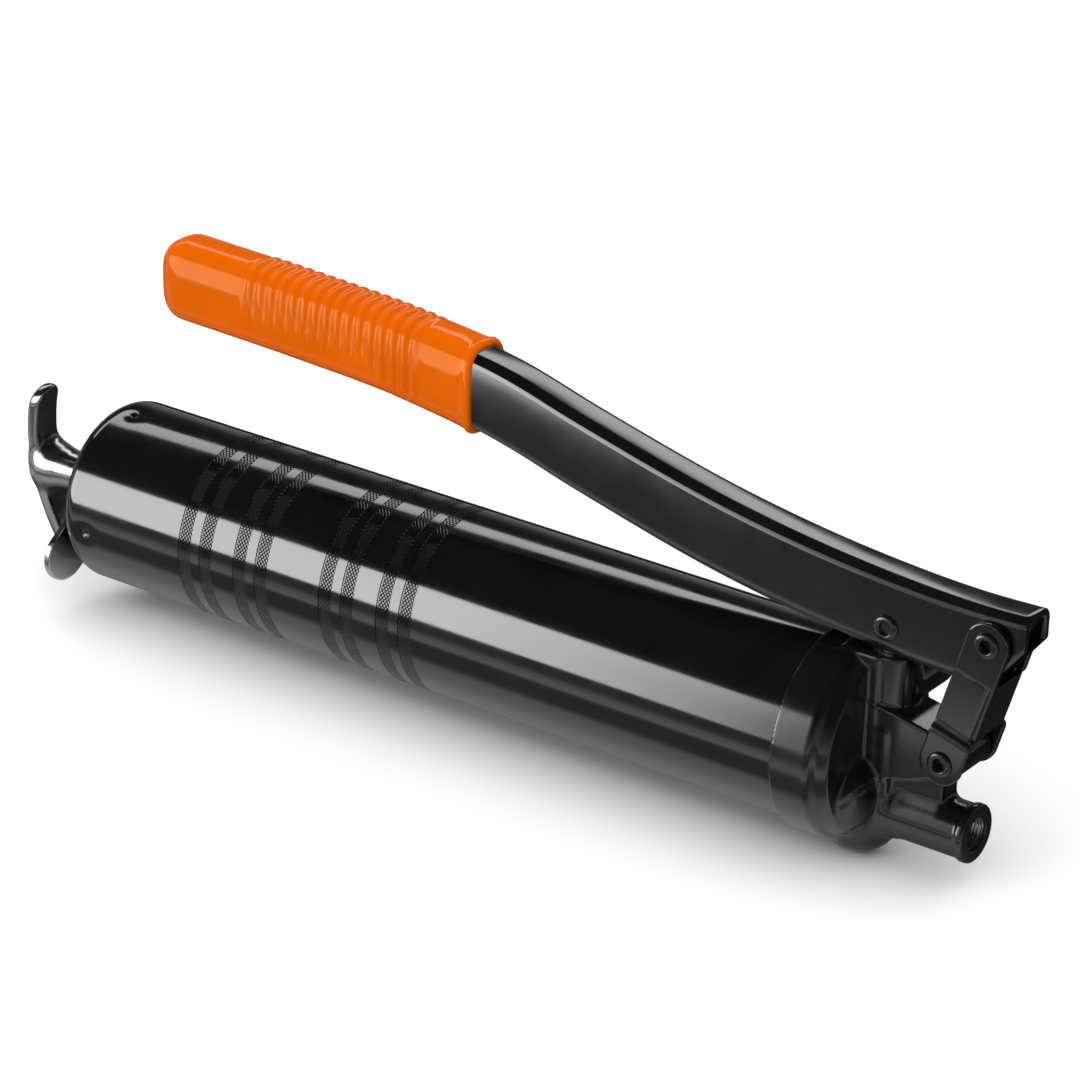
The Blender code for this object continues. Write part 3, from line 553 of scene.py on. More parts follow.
def barrel_rings():
    """Rings of the barrel's surface, from the rear along the outside to the front and back inside."""
    rear, front = BARREL_LOW[0], BARREL_HIGH[0]
    rings = []
    for a in np.radians(np.linspace(0, 90, 11)):
        radius = BARREL_R - REAR_ROUND * (1 - math.sin(a))
        rings.append(barrel_ring(rear + REAR_ROUND * (1 - math.cos(a)), radius, True))
    rings += [barrel_ring(x, BARREL_R, True) for x in np.arange(rear + REAR_ROUND + 0.3, DENTED_END, 0.3)]
    for start in band_starts():
        end = start + BAND_WIDTH
        lowered = BARREL_R - GROOVE_DEPTH
        rings += [barrel_ring(start - d, BARREL_R) for d in (GUARD, 0.0)]
        rings += [barrel_ring(x, lowered) for x in (start + GROOVE_SIDE, end - GROOVE_SIDE)]
        rings += [barrel_ring(end + d, BARREL_R) for d in (0.0, GUARD)]
    rings += [barrel_ring(x, BARREL_R) for x in np.linspace(0, front, 10)]
    inner = BARREL_R - WALL
    bend = REAR_ROUND - WALL
    rings += [barrel_ring(x, inner) for x in (front, rear + REAR_ROUND)]
    for a in np.radians(np.linspace(15, 90, 6)):
        rings.append(barrel_ring(rear + REAR_ROUND - bend * math.sin(a), inner - bend * (1 - math.cos(a))))
    rings += [barrel_ring(x, REAR_OPENING) for x in (rear + WALL, rear)]
    return rings


def barrel():
    rings = barrel_rings()
    points, faces = closed_loft(rings)
    for start in band_starts():
        more_points, more_faces = diamonds(start, len(points))
        points += more_points
        faces += more_faces
    shell = make_mesh("barrel_shell", points, faces, 24)
    piece(shell, "gun_body", "barrel_paint", BARREL_PAINT, "barrel")


# ---- pump head ---------------------------------------------------------------------------
COLLAR_REAR = HEAD_LOW[0]
COLLAR_R = (HEAD_HIGH[1] - HEAD_LOW[1]) / 2
SOCKET_FLOOR = 128.0
FACE_X = 133.2
FACE_R = 26.6
SLAB_REAR = 124.0  # the slabs start inside the collar's disc
COLUMN_R = 7.1
COLUMN_TOP = HEAD_HIGH[2]
COLUMN_FOOT = 9.5
PLUNGER_BORE = 4.65
GLAND_BORE = 6.2
GLAND_SEAT_Z = 60.5
PORT_R = 2.0
GREASE_PORT = (3.0, 50.0)  # radius and height of the hole from barrel to pump
OUTLET_X = HEAD_HIGH[0]
OUTLET_R = 8.1
OUTLET_RIM = (0.6, 2.6)  # how far it stands out, and its width
BORE_R = 5.0
BORE_DEPTH = 14.0
VALVE_SEAT = (3.4, 143.5)  # radius and start of the check valve's chamber
LUG_HALF = 8.0
RIVET_HOLE = 2.65
BLEED_LOW, BLEED_HIGH = box_mm("bleed_valve")
BLEED = ((BLEED_LOW[0] + BLEED_HIGH[0]) / 2, (BLEED_LOW[2] + BLEED_HIGH[2]) / 2)
BLEED_R = 6.0
BLEED_Y = 19.0


def collar_outline():
    """Radius and x of the head's turned part: collar, dark shoulder and face."""
    return [
        (0.0, FACE_X),
        (FACE_R, FACE_X),
        (FACE_R + 0.3, FACE_X - 0.4),
        (COLLAR_R - 2.1, FACE_X - 3.0),
        (COLLAR_R - 0.5, FACE_X - 4.6),
        (COLLAR_R, FACE_X - 5.8),
        (COLLAR_R, COLLAR_REAR),
        (0.0, COLLAR_REAR),
        (-5.0, COLLAR_REAR),
        (-5.0, FACE_X),
    ]


def lug_outline():
    """x and z of the lug's side, from the column round the link's pin and back."""
    return [
        (134.0, 50.5),
        (142.0, 49.7),
        *arc((LINK_PIVOT[0], LINK_PIVOT[2]), 5.8, 76, -100, 10),
        (148.0, 30.5),
        (134.0, 27.0),
    ]


def swelling(x, y, z):
    """Dome at each side of the pump's foot; a parting line crosses it with a small step."""
    middle, size = (128.8, 8.5, 22.0), (10.4, 15.0, 12.0)
    scale = np.sqrt(sum(((c - m) / r) ** 2 for c, m, r in zip((x, np.abs(y), z), middle, size)))
    dome = (scale - 1) * size[0]
    below = (x - 129.4 - (z - 19.6)) * math.sqrt(0.5)
    return dome + 0.45 / (1 + np.exp(np.clip(-below / 0.12, -30, 30)))


def head_hollows(x, y, z):
    from_axis, from_outlet = np.hypot(y, z - AXIS_Z), np.hypot(y, z - OUTLET_Z)
    from_pump = np.hypot(x - PUMP_X, y)
    port_r, port_z = GREASE_PORT
    seat_r, seat_x = VALVE_SEAT
    clear = 10.0  # how far an open end runs past the surface
    return [
        rod(from_axis, x, BARREL_R + 0.3, COLLAR_REAR - clear, SOCKET_FLOOR, 0.2),
        rod(from_pump, z, PLUNGER_BORE, 27.0, COLUMN_TOP + clear, 0.2),
        rod(from_pump, z, GLAND_BORE, GLAND_SEAT_Z, COLUMN_TOP + clear, 0.2),
        rod(np.hypot(y, z - port_z), x, port_r, SOCKET_FLOOR - clear, PUMP_X, 0.2),
        rod(from_pump, z, PORT_R, OUTLET_Z - 3, 30.0, 0.2),
        rod(from_outlet, x, PORT_R, PUMP_X - 3, 150.0, 0.2),
        rod(from_outlet, x, seat_r, seat_x, 160.0, 0.2),
        rod(from_outlet, x, BORE_R, OUTLET_X - BORE_DEPTH, OUTLET_X + clear, 0.2),
        rod(np.hypot(x - BLEED[0], z - BLEED[1]), y, 2.9, BLEED_Y - 9, BLEED_Y + clear, 0.2),
        rod(np.hypot(x - LINK_PIVOT[0], z - LINK_PIVOT[2]), y, RIVET_HOLE, -20.0, 20.0, 0.2),
    ]


def head_field(x, y, z):
    p = (x, y, z)
    from_outlet = np.hypot(y, z - OUTLET_Z)
    proud, rim_width = OUTLET_RIM
    slab = block(p, (SLAB_REAR, -LUG_HALF, 22.0), (136.6, LUG_HALF, COLUMN_TOP - 0.2), 1.0)
    lower_slab = block(p, (SLAB_REAR, -LUG_HALF, 16.0), (141.0, LUG_HALF, 44.0), 1.6)
    column = rod(np.hypot(x - PUMP_X, y), z, COLUMN_R, COLUMN_FOOT, COLUMN_TOP, 1.0)
    lug = corner_join(outline_field(x, z, lug_outline()), np.abs(y) - LUG_HALF, 0.7)
    foot = ball(p, (128.6, 0.0, 12.0), 12.0)
    web = block(p, (136.0, -4.6, 12.0), (157.0, 4.6, 38.0), 1.5)
    bleed = rod(np.hypot(x - BLEED[0], z - BLEED[1]), y, BLEED_R, 0.0, BLEED_Y, 0.7)
    pipe = rod(from_outlet, x, OUTLET_R, 130.0, OUTLET_X, 0.8)
    rim = rod(from_outlet, x, OUTLET_R + proud, OUTLET_X - rim_width, OUTLET_X, 0.8)
    collar = outline_field(np.hypot(y, z - AXIS_Z), x, collar_outline())
    body = smin(slab, lower_slab, 1.0)
    body = smin(body, column, 0.8)
    body = smin(body, lug, 1.2)
    body = smin(body, smin(swelling(x, y, z), foot, 3.0), 1.6)
    body = smin(body, web, 1.4)
    body = smin(body, bleed, 1.0)
    body = smin(body, smin(pipe, rim, 0.8), 2.4)
    body = smin(body, collar, 1.2)
    for hollow in head_hollows(x, y, z):
        body = smax(body, -hollow, 0.4)
    return body


def pump_head():
    step = 0.5
    points, faces = field_mesh(head_field, HEAD_LOW - 0.3, HEAD_HIGH + 0.3, step)
    casting = make_mesh("head_casting", points, faces, 180)
    piece(casting, "gun_body", "head_paint", HEAD_PAINT, "pump_head")


def bleed_valve():
    """Hexagon, knob and stem of the bleed screw."""
    seat = BLEED_Y + 0.3
    top, tip = seat + 4.0, seat + 7.8
    flat, corner, bevel = 5.0, 5.6, 0.4
    hexagon = [
        (0.0, seat), (flat, seat), (corner, seat + bevel), (corner, top - bevel), (flat, top), (0.0, top),
    ]
    points, faces = revolve(hexagon, 6)
    nut = make_mesh("bleed_hexagon", along_y(points, *BLEED), faces, 20)
    piece(nut, "gun_body", "plain_steel", STEEL, "bleed_valve")
    stem, knob_r, foot = 2.6, 3.2, seat - 7.0
    profile = [
        (0.0, foot), (stem, foot), (stem, top + 0.6), (knob_r, top + 1.0), (knob_r, tip), (0.0, tip),
    ]
    knob = turned("bleed_knob", profile, along_y, 40, 0.5, x=BLEED[0], z=BLEED[1])
    piece(knob, "gun_body", "plain_steel", STEEL)


THREAD_PITCH = 1.0
THREAD_DEPTH = 0.55


def outlet_thread():
    """The outlet's internal thread, as a closed ring of its own set in the bore."""
    start, end = RETAINER_HIGH[0] + 0.1, OUTLET_X - 0.7
    per_turn, steps = 6, 48
    turn = np.arange(steps) / steps
    around, up = np.cos(2 * math.pi * turn), np.sin(2 * math.pi * turn)

    def ring(x, radius):
        return np.column_stack([np.full(steps, x), radius * around, OUTLET_Z + radius * up])

    rings = []
    for x in np.linspace(start, end, int((end - start) / THREAD_PITCH * per_turn) + 1):
        phase = ((x - start) / THREAD_PITCH + turn) % 1.0
        fade = min(1.0, end - x + 0.05)  # the thread runs out at the mouth
        rings.append(ring(x, BORE_R + 0.05 - THREAD_DEPTH * fade * (1 - np.abs(2 * phase - 1))))
    rings += [ring(x, BORE_R + 0.5) for x in (end, start)]
    thread = make_mesh("outlet_thread", *closed_loft(rings), 30)
    piece(thread, "gun_body", "head_paint", CUT_THREAD)


# ---- lever and grip ------------------------------------------------------------------------
LEVER_LOW, LEVER_HIGH = box_mm("lever")
LEVER_HALF = LEVER_HIGH[1]
LEVER_WALL = 2.0
SHOULDER = 3.2
LEVER_DEPTH = (21.0, 22.5)  # at the grip, and ahead of it
LEVER_CUT = (170.9, 67.1)  # x, z of the corner below the front end
LEVER_NOSE_Z = 79.2  # lower end of the upright front edge
LEVER_BEND_X = 168.0
SHEET_EDGE = 0.4
LEVER_TOP = np.array([  # x, z of the top of the lever, from the rear
    (-118.0, 123.7), (-70.0, 122.2), (-30.0, 120.0), (4.2, 115.7), (32.0, 108.3),
    (87.0, 95.7), (127.0, 90.3), (165.0, 88.4), (180.4, 88.9),
])
TOP_SLOPE = np.gradient(LEVER_TOP[:, 1], LEVER_TOP[:, 0])


def lever_top(x):
    xs, zs = LEVER_TOP.T
    i = int(np.clip(np.searchsorted(xs, x) - 1, 0, len(xs) - 2))
    span = xs[i + 1] - xs[i]
    t = (x - xs[i]) / span
    start = (2 * t**3 - 3 * t**2 + 1) * zs[i] + (t**3 - 2 * t**2 + t) * span * TOP_SLOPE[i]
    return start + (-2 * t**3 + 3 * t**2) * zs[i + 1] + (t**3 - t**2) * span * TOP_SLOPE[i + 1]


def lever_bottom(x):
    if x > LEVER_BEND_X:
        ends = (LEVER_BEND_X, LEVER_CUT[0], LEVER_HIGH[0])
        return np.interp(x, ends, (lever_bottom(LEVER_BEND_X), LEVER_CUT[1], LEVER_NOSE_Z))
    return lever_top(x) - np.interp(x, (-40.0, 5.0), LEVER_DEPTH)


def channel_ring(x, inset=0.0):
    """One section of the channel, with rounded shoulders and softened sheet edges."""
    top, bottom = lever_top(x) - inset, lever_bottom(x) + inset
    half = LEVER_HALF - inset
    inner = LEVER_HALF - LEVER_WALL + inset
    ceiling = top - LEVER_WALL + 2 * inset
    soft = SHEET_EDGE
    side = [(0.0, top)]
    side += arc((half - SHOULDER, top - SHOULDER), SHOULDER, 90, 0, 8)
    side += [(half, bottom + 3.0), (half, bottom + soft), (half - soft * 0.3, bottom + soft * 0.3)]
    side += [(half - soft, bottom), (inner + soft, bottom), (inner, bottom + soft)]
    side += arc((inner - 1.3, ceiling - 1.3), 1.3, 0, 90, 3)
    side += [(0.0, ceiling)]
    return [(x, y, z) for y, z in side + [(-y, z) for y, z in reversed(side[1:-1])]]


def lever():
    """The channel from rear to front, with softened ends."""
    rear, front = LEVER_LOW[0], LEVER_HIGH[0]
    soft = 0.22
    xs = [*np.arange(rear + 0.3, LEVER_BEND_X, 2.5)]
    xs += [*np.linspace(LEVER_BEND_X, LEVER_CUT[0], 4), *np.linspace(LEVER_CUT[0], front - 0.35, 7)[1:]]
    rings = [channel_ring(rear, soft), *[channel_ring(x) for x in xs], channel_ring(front, soft)]
    points, faces = loft(rings)
    channel = make_mesh("lever_channel", points, faces, 38)
    piece(channel, "hand_lever", "lever_paint", LEVER_PAINT, "lever")


GRIP_LOW, GRIP_HIGH = box_mm("grip")
GRIP_WALL = 2.2
GRIP_ROUND = 8.5
GRIP_SQUARE = 3.2  # power of the section's outline: 2 is an ellipse, and more is squarer
RIB_PITCH = 4.15
RIB_FIRST, RIB_LAST = -91.0, -22.0
RIB_HEIGHT = 0.85
RIBS_DEEP_FROM = -44.0  # ribs ahead of this reach further down
LIP = 1.5


def grip_ring(x, out, inset_v=0.0, inset_h=0.0, square=GRIP_SQUARE):
    """Superelliptic section around the lever, squarer below than above."""
    where = max(x, LEVER_LOW[0])
    top, bottom = lever_top(where) + out - inset_v, lever_bottom(where) - out + inset_v
    half = LEVER_HALF + out + 0.2 - inset_h
    t = np.radians(np.arange(0, 360, 5))
    c, up = np.cos(t), np.sin(t)
    power = 2 / np.where(up > 0, square, square + 1.0)
    y = half * np.sign(c) * np.abs(c) ** power
    z = (top + bottom) / 2 + (top - bottom) / 2 * np.sign(up) * np.abs(up) ** power
    return np.column_stack([np.full(len(t), x), y, z])


def ribbed(ring, x):
    """Soft rings over the top and upper sides; the front ones reach further down."""
    edge = min(1.0, max(0.0, (x - RIB_FIRST) / 4), max(0.0, (RIB_LAST - x) / 4))
    if edge <= 0:
        return ring
    wave = 0.5 + 0.5 * math.cos(2 * math.pi * (x - RIB_FIRST) / RIB_PITCH)
    middle = (lever_top(x) + lever_bottom(x)) / 2
    reach = np.interp(x, (RIBS_DEEP_FROM, RIBS_DEEP_FROM + 10.0), (0.25, 1.0))
    low = (lever_bottom(x) - middle) * reach - 1.5
    share = np.clip((ring[:, 2] - middle - low) / 5.0, 0, 1)
    share = share * share * (3 - 2 * share)
    away = ring - np.array([x, 0, middle])
    away[:, 0] = 0
    away[:, 1] *= 1.9
    away /= np.linalg.norm(away, axis=1)[:, None]
    lift = (RIB_HEIGHT * wave - RIB_HEIGHT / 2) * edge * share
    return ring + away * lift[:, None]


def grip():
    """The sleeve from its inner face round the lip, along the outside and over the closed rear end."""
    rear, front = GRIP_LOW[0], GRIP_HIGH[0]
    inside = 0.1
    sections = [
        grip_ring(LEVER_LOW[0] - 0.1, inside, square=7.0),
        grip_ring(front - 3.0, inside, square=7.0),
        grip_ring(front - 0.6, inside + 0.1, square=6.0),
    ]
    for a in np.radians(np.linspace(-60, 90, 7)):
        out = GRIP_WALL + LIP * (0.75 * math.sin(a) - 0.35)
        sections.append(grip_ring(front - LIP * (1 - math.cos(a)), out))
    for behind, share in ((1.9, 0.396), (2.8, 0.144), (4.0, 0.024), (7.0, 0.0)):
        sections.append(grip_ring(front - behind, GRIP_WALL + LIP * share))
    for x in np.arange(front - 8.0, rear + GRIP_ROUND, -RIB_PITCH / 8):
        sections.append(ribbed(grip_ring(x, GRIP_WALL), x))
    for a in np.radians(np.linspace(0, 88, 10)):
        x, inset = rear + GRIP_ROUND * (1 - math.sin(a)), GRIP_ROUND * (1 - math.cos(a))
        sections.append(grip_ring(x, GRIP_WALL, inset * 0.9, inset * 0.65))
    points, faces = loft(sections)
    sleeve = make_mesh("grip_sleeve", points, faces, 55)
    piece(sleeve, "hand_lever", "grip_vinyl", GRIP_VINYL, "grip")
    sleeve.visible_glossy = False


# ---- link ------------------------------------------------------------------------------
LINK_LENGTH = math.hypot(LEVER_PIVOT[0] - LINK_PIVOT[0], LEVER_PIVOT[2] - LINK_PIVOT[2])
LINK_UP = np.array([LEVER_PIVOT[0] - LINK_PIVOT[0], 0, LEVER_PIVOT[2] - LINK_PIVOT[2]]) / LINK_LENGTH
LINK_OUT = np.array([LINK_UP[2], 0, -LINK_UP[0]])  # towards the web
LINK_WALL = 1.9
LINK_HALF = 6.58
UPPER_EAR_Y = 8.8
LOWER_EAR_Y = 10.3
JOGGLE = (8.2, 11.4)
WEB = (11.2, 28.7)


def link_field(v, y, u):
    """v runs towards the web, y across and u up the link, from the lower pin."""
    share = np.clip((u - JOGGLE[0]) / (JOGGLE[1] - JOGGLE[0]), 0, 1)
    outer = LOWER_EAR_Y + (UPPER_EAR_Y - LOWER_EAR_Y) * share * share * (3 - 2 * share)
    ends = np.hypot(v, u - np.clip(u, 0, LINK_LENGTH)) - LINK_HALF
    side = np.abs(y)
    ear = np.abs(side - outer + LINK_WALL / 2) - LINK_WALL / 2
    bent = corner_join(v - LINK_HALF, side - UPPER_EAR_Y, 2.6)
    in_web = np.abs(u - (WEB[0] + WEB[1]) / 2) - (WEB[1] - WEB[0]) / 2
    ear = smax(ear, bent - 3.0 * np.clip(in_web, 0, 3), 0.2)
    ears = corner_join(ear, ends, 0.35)
    web = np.maximum(bent, -(bent + LINK_WALL))
    web = corner_join(web, smax(in_web, -v, 0.5), 0.35)
    body = np.minimum(ears, web)
    for height in (0.0, LINK_LENGTH):
        body = np.maximum(body, RIVET_HOLE - np.hypot(v, u - height))
    return body


def link():
    step = 0.45
    low = (-LINK_HALF, -LOWER_EAR_Y, -LINK_HALF)
    high = (LINK_HALF, LOWER_EAR_Y, LINK_LENGTH + LINK_HALF)
    points, faces = field_mesh(link_field, np.array(low) - 0.1, np.array(high) + 0.1, step)
    points = LINK_PIVOT + points @ np.array([LINK_OUT, (0, 1, 0), LINK_UP])
    shackle = make_mesh("link_shackle", points, faces, 180)
    piece(shackle, "rocking_link", "lever_paint", LEVER_PAINT, "link")


def rivet(node, body, pivot):
    """Two domed heads and the shaft between them, with a drilled and flared end."""
    reach = box_mm(node)[1][1]
    under = reach - 1.0
    half = [
        (0.0, reach - 2.6), (1.55, reach - 2.6), (1.75, reach - 0.7), (2.15, reach - 0.1), (2.45, reach),
        (3.1, reach - 0.12), (3.55, reach - 0.38), (3.78, reach - 0.72), (3.7, under), (2.5, under),
    ]
    points, faces = revolve(half + [(r, -h) for r, h in reversed(half)], 56)
    head = make_mesh(node + "_rivet", along_y(points, pivot[0], pivot[-1]), faces, 42)
    piece(head, body, "dark_rivet", RIVET_BLACK, node)


# ---- rear end -------------------------------------------------------------------------------
HANDLE_LOW, HANDLE_HIGH = box_mm("pull_handle")
HANDLE_TURN = math.radians(11.5)  # the upper arm leans towards -Y
BOW_R = 76.0
ARM_SPAN = 30.0
ARM_THICK = 4.0
ARM_HALF = 5.6
NECK = (  # x, radius
    (-180.0, 7.0), (-176.2, 8.0), (-173.0, 7.6), (-170.5, 6.9), (-167.0, 6.4), (-155.6, 6.2),
)
NECK_REAR = -179.2
ROD_SOCKET = (3.8, -174.0)  # radius and floor of the blind hole for the rod
HANDLE_PIN = (1.5, -161.5)  # radius and x of the cross hole


def handle_field(x, y, z):
    """Local z runs along the arms; x is the gun's."""
    bow = np.abs(np.hypot(x - HANDLE_LOW[0] - BOW_R, z) - BOW_R + ARM_THICK / 2) - ARM_THICK / 2
    ends = np.hypot(y, z - np.clip(z, ARM_HALF - ARM_SPAN, ARM_SPAN - ARM_HALF)) - ARM_HALF
    arms = corner_join(bow, ends, 1.6)
    arms = np.maximum(arms, x + 150.0)
    across = np.hypot(y, z)
    neck = rod(across - np.interp(x, *zip(*NECK)), x, 0.0, NECK_REAR, HANDLE_HIGH[0], 0.8)
    body = smin(arms, neck, 3.6)
    body = smax(body, -corner_join(across - ROD_SOCKET[0], ROD_SOCKET[1] - x, 0.1), 0.3)
    body = np.maximum(body, HANDLE_LOW[0] - x)
    return np.maximum(body, HANDLE_PIN[0] - np.hypot(x - HANDLE_PIN[1], z))


def pull_handle():
    step = 0.5
    low = np.array((HANDLE_LOW[0], -9.6, -ARM_SPAN))
    high = np.array((HANDLE_HIGH[0], 9.6, ARM_SPAN))
    points, faces = field_mesh(handle_field, low - 0.1, high + 0.1, step)
    c, s = math.cos(HANDLE_TURN), math.sin(HANDLE_TURN)
    lean = np.array([(1, 0, 0), (0, c, s), (0, -s, c)])
    handle = make_mesh("cast_pull_handle", points @ lean + (0, 0, AXIS_Z), faces, 180)
    piece(handle, "pull_rod", "cast_handle", CAST_METAL, "pull_handle")


LATCH_TILT = math.radians(3.8)
LATCH_ANGLE = math.radians(40.0)  # how far below -Y the tab points
LATCH_FULCRUM = 13.5  # from the plate's far end to the rod
LATCH_REACH = 35.8
LATCH_HALF = 8.6
LATCH_THICK = 2.0
LATCH_HOLE = 4.0
LATCH_X = box_mm("rod_latch")[1][0]


def latch_field(x, y, z):
    """x runs from the far end to the tab's tip, and z is the plate's thickness."""
    tip = LATCH_FULCRUM + LATCH_REACH - LATCH_HALF
    plan = np.hypot(x - np.minimum(x, tip), y) - LATCH_HALF
    plan = corner_join(plan, -x, 1.5)
    plate = corner_join(plan, np.abs(z - LATCH_THICK / 2) - LATCH_THICK / 2, 0.32)
    return np.maximum(plate, LATCH_HOLE - np.hypot(x - LATCH_FULCRUM, y))


def rod_latch():
    step = 0.42
    low = np.array((0.0, -LATCH_HALF, 0.0))
    high = np.array((LATCH_FULCRUM + LATCH_REACH, LATCH_HALF, LATCH_THICK))
    points, faces = field_mesh(latch_field, low - 0.1, high + 0.1, step)
    reach = Vector((0, -math.cos(LATCH_ANGLE), -math.sin(LATCH_ANGLE)))
    rear = Vector((-1, 0, 0))
    turn = Matrix((reach, rear.cross(reach), rear)).transposed().to_4x4()
    centre = Vector((LATCH_X, 0, AXIS_Z)) - LATCH_FULCRUM * reach
    place = np.array(Matrix.Translation(centre) @ turn @ Matrix.Rotation(-LATCH_TILT, 4, "Y"))
    points = points @ place[:3, :3].T + place[:3, 3]
    plate = make_mesh("latch_plate_bright", points, faces, 180)
    piece(plate, "latch_plate", "zinc_plate", ZINC, "rod_latch")


def rear_cap():
    """Skirt, dished disc, raised seat for the latch and a hub with the rod's hole."""
    low, high = box_mm("rear_cap")
    skirt, boss, front = high[1], low[0], high[0]
    disc, sheet = -146.5, 2.0
    inner = skirt - 1.4
    profile = [
        (skirt, front), (skirt, disc + 6.0), (skirt - 6.0, disc), (15.6, disc), (15.6, boss), (7.2, boss),
        (7.2, -142.6), (3.8, -142.6), (3.8, -139.0), (9.0, -139.0), (12.0, disc + sheet),
        (skirt - 6.0, disc + sheet), (inner, disc + 7.0), (inner, front),
    ]
    cap = turned("rear_guide", profile, along_x, 96, 0.5, z=AXIS_Z)
    piece(cap, "gun_body", "plain_steel", STEEL, "rear_cap")


def follower_rod():
    low, high = box_mm("follower_rod")
    radius = high[1]
    profile = [(0.0, low[0]), (radius, low[0]), (radius, high[0]), (0.0, high[0])]
    shaft = turned("pull_rod_shaft", profile, along_x, 48, 0.6, z=AXIS_Z)
    piece(shaft, "pull_rod", "rod_steel", ROD_STEEL, "follower_rod")


def springs():
    """Coils for the three springs, each with close end turns and a mesh of its own."""
    follower = ("follower_coil", -143.8, 93.6, 20.0, 1.0, 13, 40)
    latch = ("latch_coil", -148.1, -143.1, 5.6, 0.5, 3, 32)
    check = ("check_coil", 148.0, 151.7, 2.3, 0.35, 3, 28, 0.6)
    for shape, z, node, joint, fixed_end, keep in (
        (follower, AXIS_Z, "follower_spring", "follower_slide", -144.0, 0.2),
        (latch, AXIS_Z, "latch_spring", "latch_tilt", -142.9, 0.88),
        (check, OUTLET_Z, "check_spring", "check_ball_lift", 152.1, 0.6),
    ):
        coil = coil_mesh(*shape, z=z)
        piece(coil, "gun_body", "spring_steel", SPRING_WIRE, node)
        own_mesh(coil)


# ---- plunger ---------------------------------------------------------------------------------
PLUNGER_R = 4.5
PLUNGER_SLOT = (2.95, 1.5)  # radius of the slot's ends, and half the distance between them
PLUNGER_EYE = [  # x, z from the pin, before the edge is rounded outward
    (-4.9, -5.4), (4.9, -5.4), (6.6, -2.6), (6.6, 1.9), (4.7, 4.2), (-4.7, 4.2), (-6.6, 1.9), (-6.6, -2.6),
]


def plunger_field(x, y, z):
    """Measured from the pump's axis."""
    height = z - PLUNGER_PIVOT_Z
    stem = rod(np.hypot(x, y), z, PLUNGER_R, PLUNGER_LOW[2], 71.0, 0.4)
    eye = corner_join(outline_field(x, height, PLUNGER_EYE) - 0.8, np.abs(y) - 4.1, 0.8)
    slot_r, slot_half = PLUNGER_SLOT
    slot = np.hypot(x - np.clip(x, -slot_half, slot_half), height) - slot_r
    return smax(smin(stem, eye, 1.5), -slot, 0.4)


def plunger():
    step = 0.45
    axis = np.array([PUMP_X, 0, 0])
    points, faces = field_mesh(plunger_field, PLUNGER_LOW - axis - 0.1, PLUNGER_HIGH - axis + 0.1, step)
    stem = make_mesh("plunger_stem", points + axis, faces, 180)
    piece(stem, "pump_plunger", "rod_steel", PLUNGER_STEEL, "plunger")


# ---- small parts kept from the model ------------------------------------------------------------
KEPT = {
    "handle_pin": STEEL,
    "piston_rear_plate": ZINC,
    "piston_front_plate": ZINC,
    "piston_nut": ZINC,
    "piston_cup": SEAL,
    "barrel_gasket": SEAL,
    "plunger_seal": SEAL,
    "gland_ring": STEEL,
    "check_ball": BALL,
    "valve_retainer": BRASS,
    "fulcrum_bush": STEEL,
}


def kept_parts():
    for node, finish in KEPT.items():
        slots = frame["nodes"][node].data.materials
        if len(slots):
            slots[0] = finish
        else:
            slots.append(finish)


# ---- room, in metres ------------------------------------------------------------------------------
VIEW_TURN = math.radians(35.70)
VIEW_DOWN = math.radians(24.83)
VIEW_ROLL = 0.02
CAMERA_AT = (0.67185, -0.91361, 0.5835)
LENS = 142.01
SENSOR = 36


def camera():
    """Looks at the gun from its front left."""
    ahead = Vector((-math.sin(VIEW_TURN), math.cos(VIEW_TURN), 0)) * math.cos(VIEW_DOWN)
    ahead.z = -math.sin(VIEW_DOWN)
    right = Vector((math.cos(VIEW_TURN), math.sin(VIEW_TURN), 0))
    up = right.cross(ahead)
    c, s = math.cos(VIEW_ROLL), math.sin(VIEW_ROLL)
    place = Matrix((right * c + up * s, up * c - right * s, -ahead)).transposed().to_4x4()
    eye = bpy.data.cameras.new("camera")
    eye.lens = LENS
    eye.sensor_width = SENSOR
    eye.clip_end = 10
    thing = bpy.data.objects.new("camera", eye)
    thing.matrix_world = Matrix.Translation(CAMERA_AT) @ place
    bpy.context.scene.collection.objects.link(thing)
    bpy.context.scene.camera = thing


def panel(name, place, width, height, radiance, target=(0.0, 0.0, 0.0), glossy=True, diffuse=True):
    """An area light that faces its target; radiance is against a white surface of 1."""
    light = bpy.data.lights.new(name, "AREA")
    light.shape = "RECTANGLE"
    light.size = width
    light.size_y = height
    light.energy = radiance * math.pi * width * height
    thing = bpy.data.objects.new(name, light)
    thing.location = place
    thing.rotation_euler = (Vector(target) - Vector(place)).to_track_quat("-Z", "Y").to_euler()
    thing.visible_camera = False
    thing.visible_glossy = glossy
    thing.visible_diffuse = diffuse
    bpy.context.scene.collection.objects.link(thing)


def flat_sheet(name, corners, material):
    mesh = bpy.data.meshes.new(name)
    mesh.from_pydata(corners, [], [(0, 1, 2, 3)])
    mesh.materials.append(material)
    thing = bpy.data.objects.new(name, mesh)
    bpy.context.scene.collection.objects.link(thing)
    return thing


FLOOR_HALF = 3.0


def floor():
    paper = Nodes("floor_paper", (0.9, 0.9, 0.9), 0.9)
    paper.colours(paper.spread(paper.noise(8, 2), 0, 1), (0.89, 0.89, 0.89), (0.91, 0.91, 0.91))
    paper.shader.inputs["Specular IOR Level"].default_value = 0.0
    a = FLOOR_HALF
    flat_sheet("floor", [(-a, -a, 0), (a, -a, 0), (a, a, 0), (-a, a, 0)], paper.material)


def fill_ramp(ramp, knots):
    """Grey knots of (place from 0 to 1, level)."""
    elements = ramp.color_ramp.elements
    while len(elements) < len(knots):
        elements.new(0.5)
    for element, (place, level) in zip(elements, knots):
        element.position = place
        element.color = (level, level, level, 1)


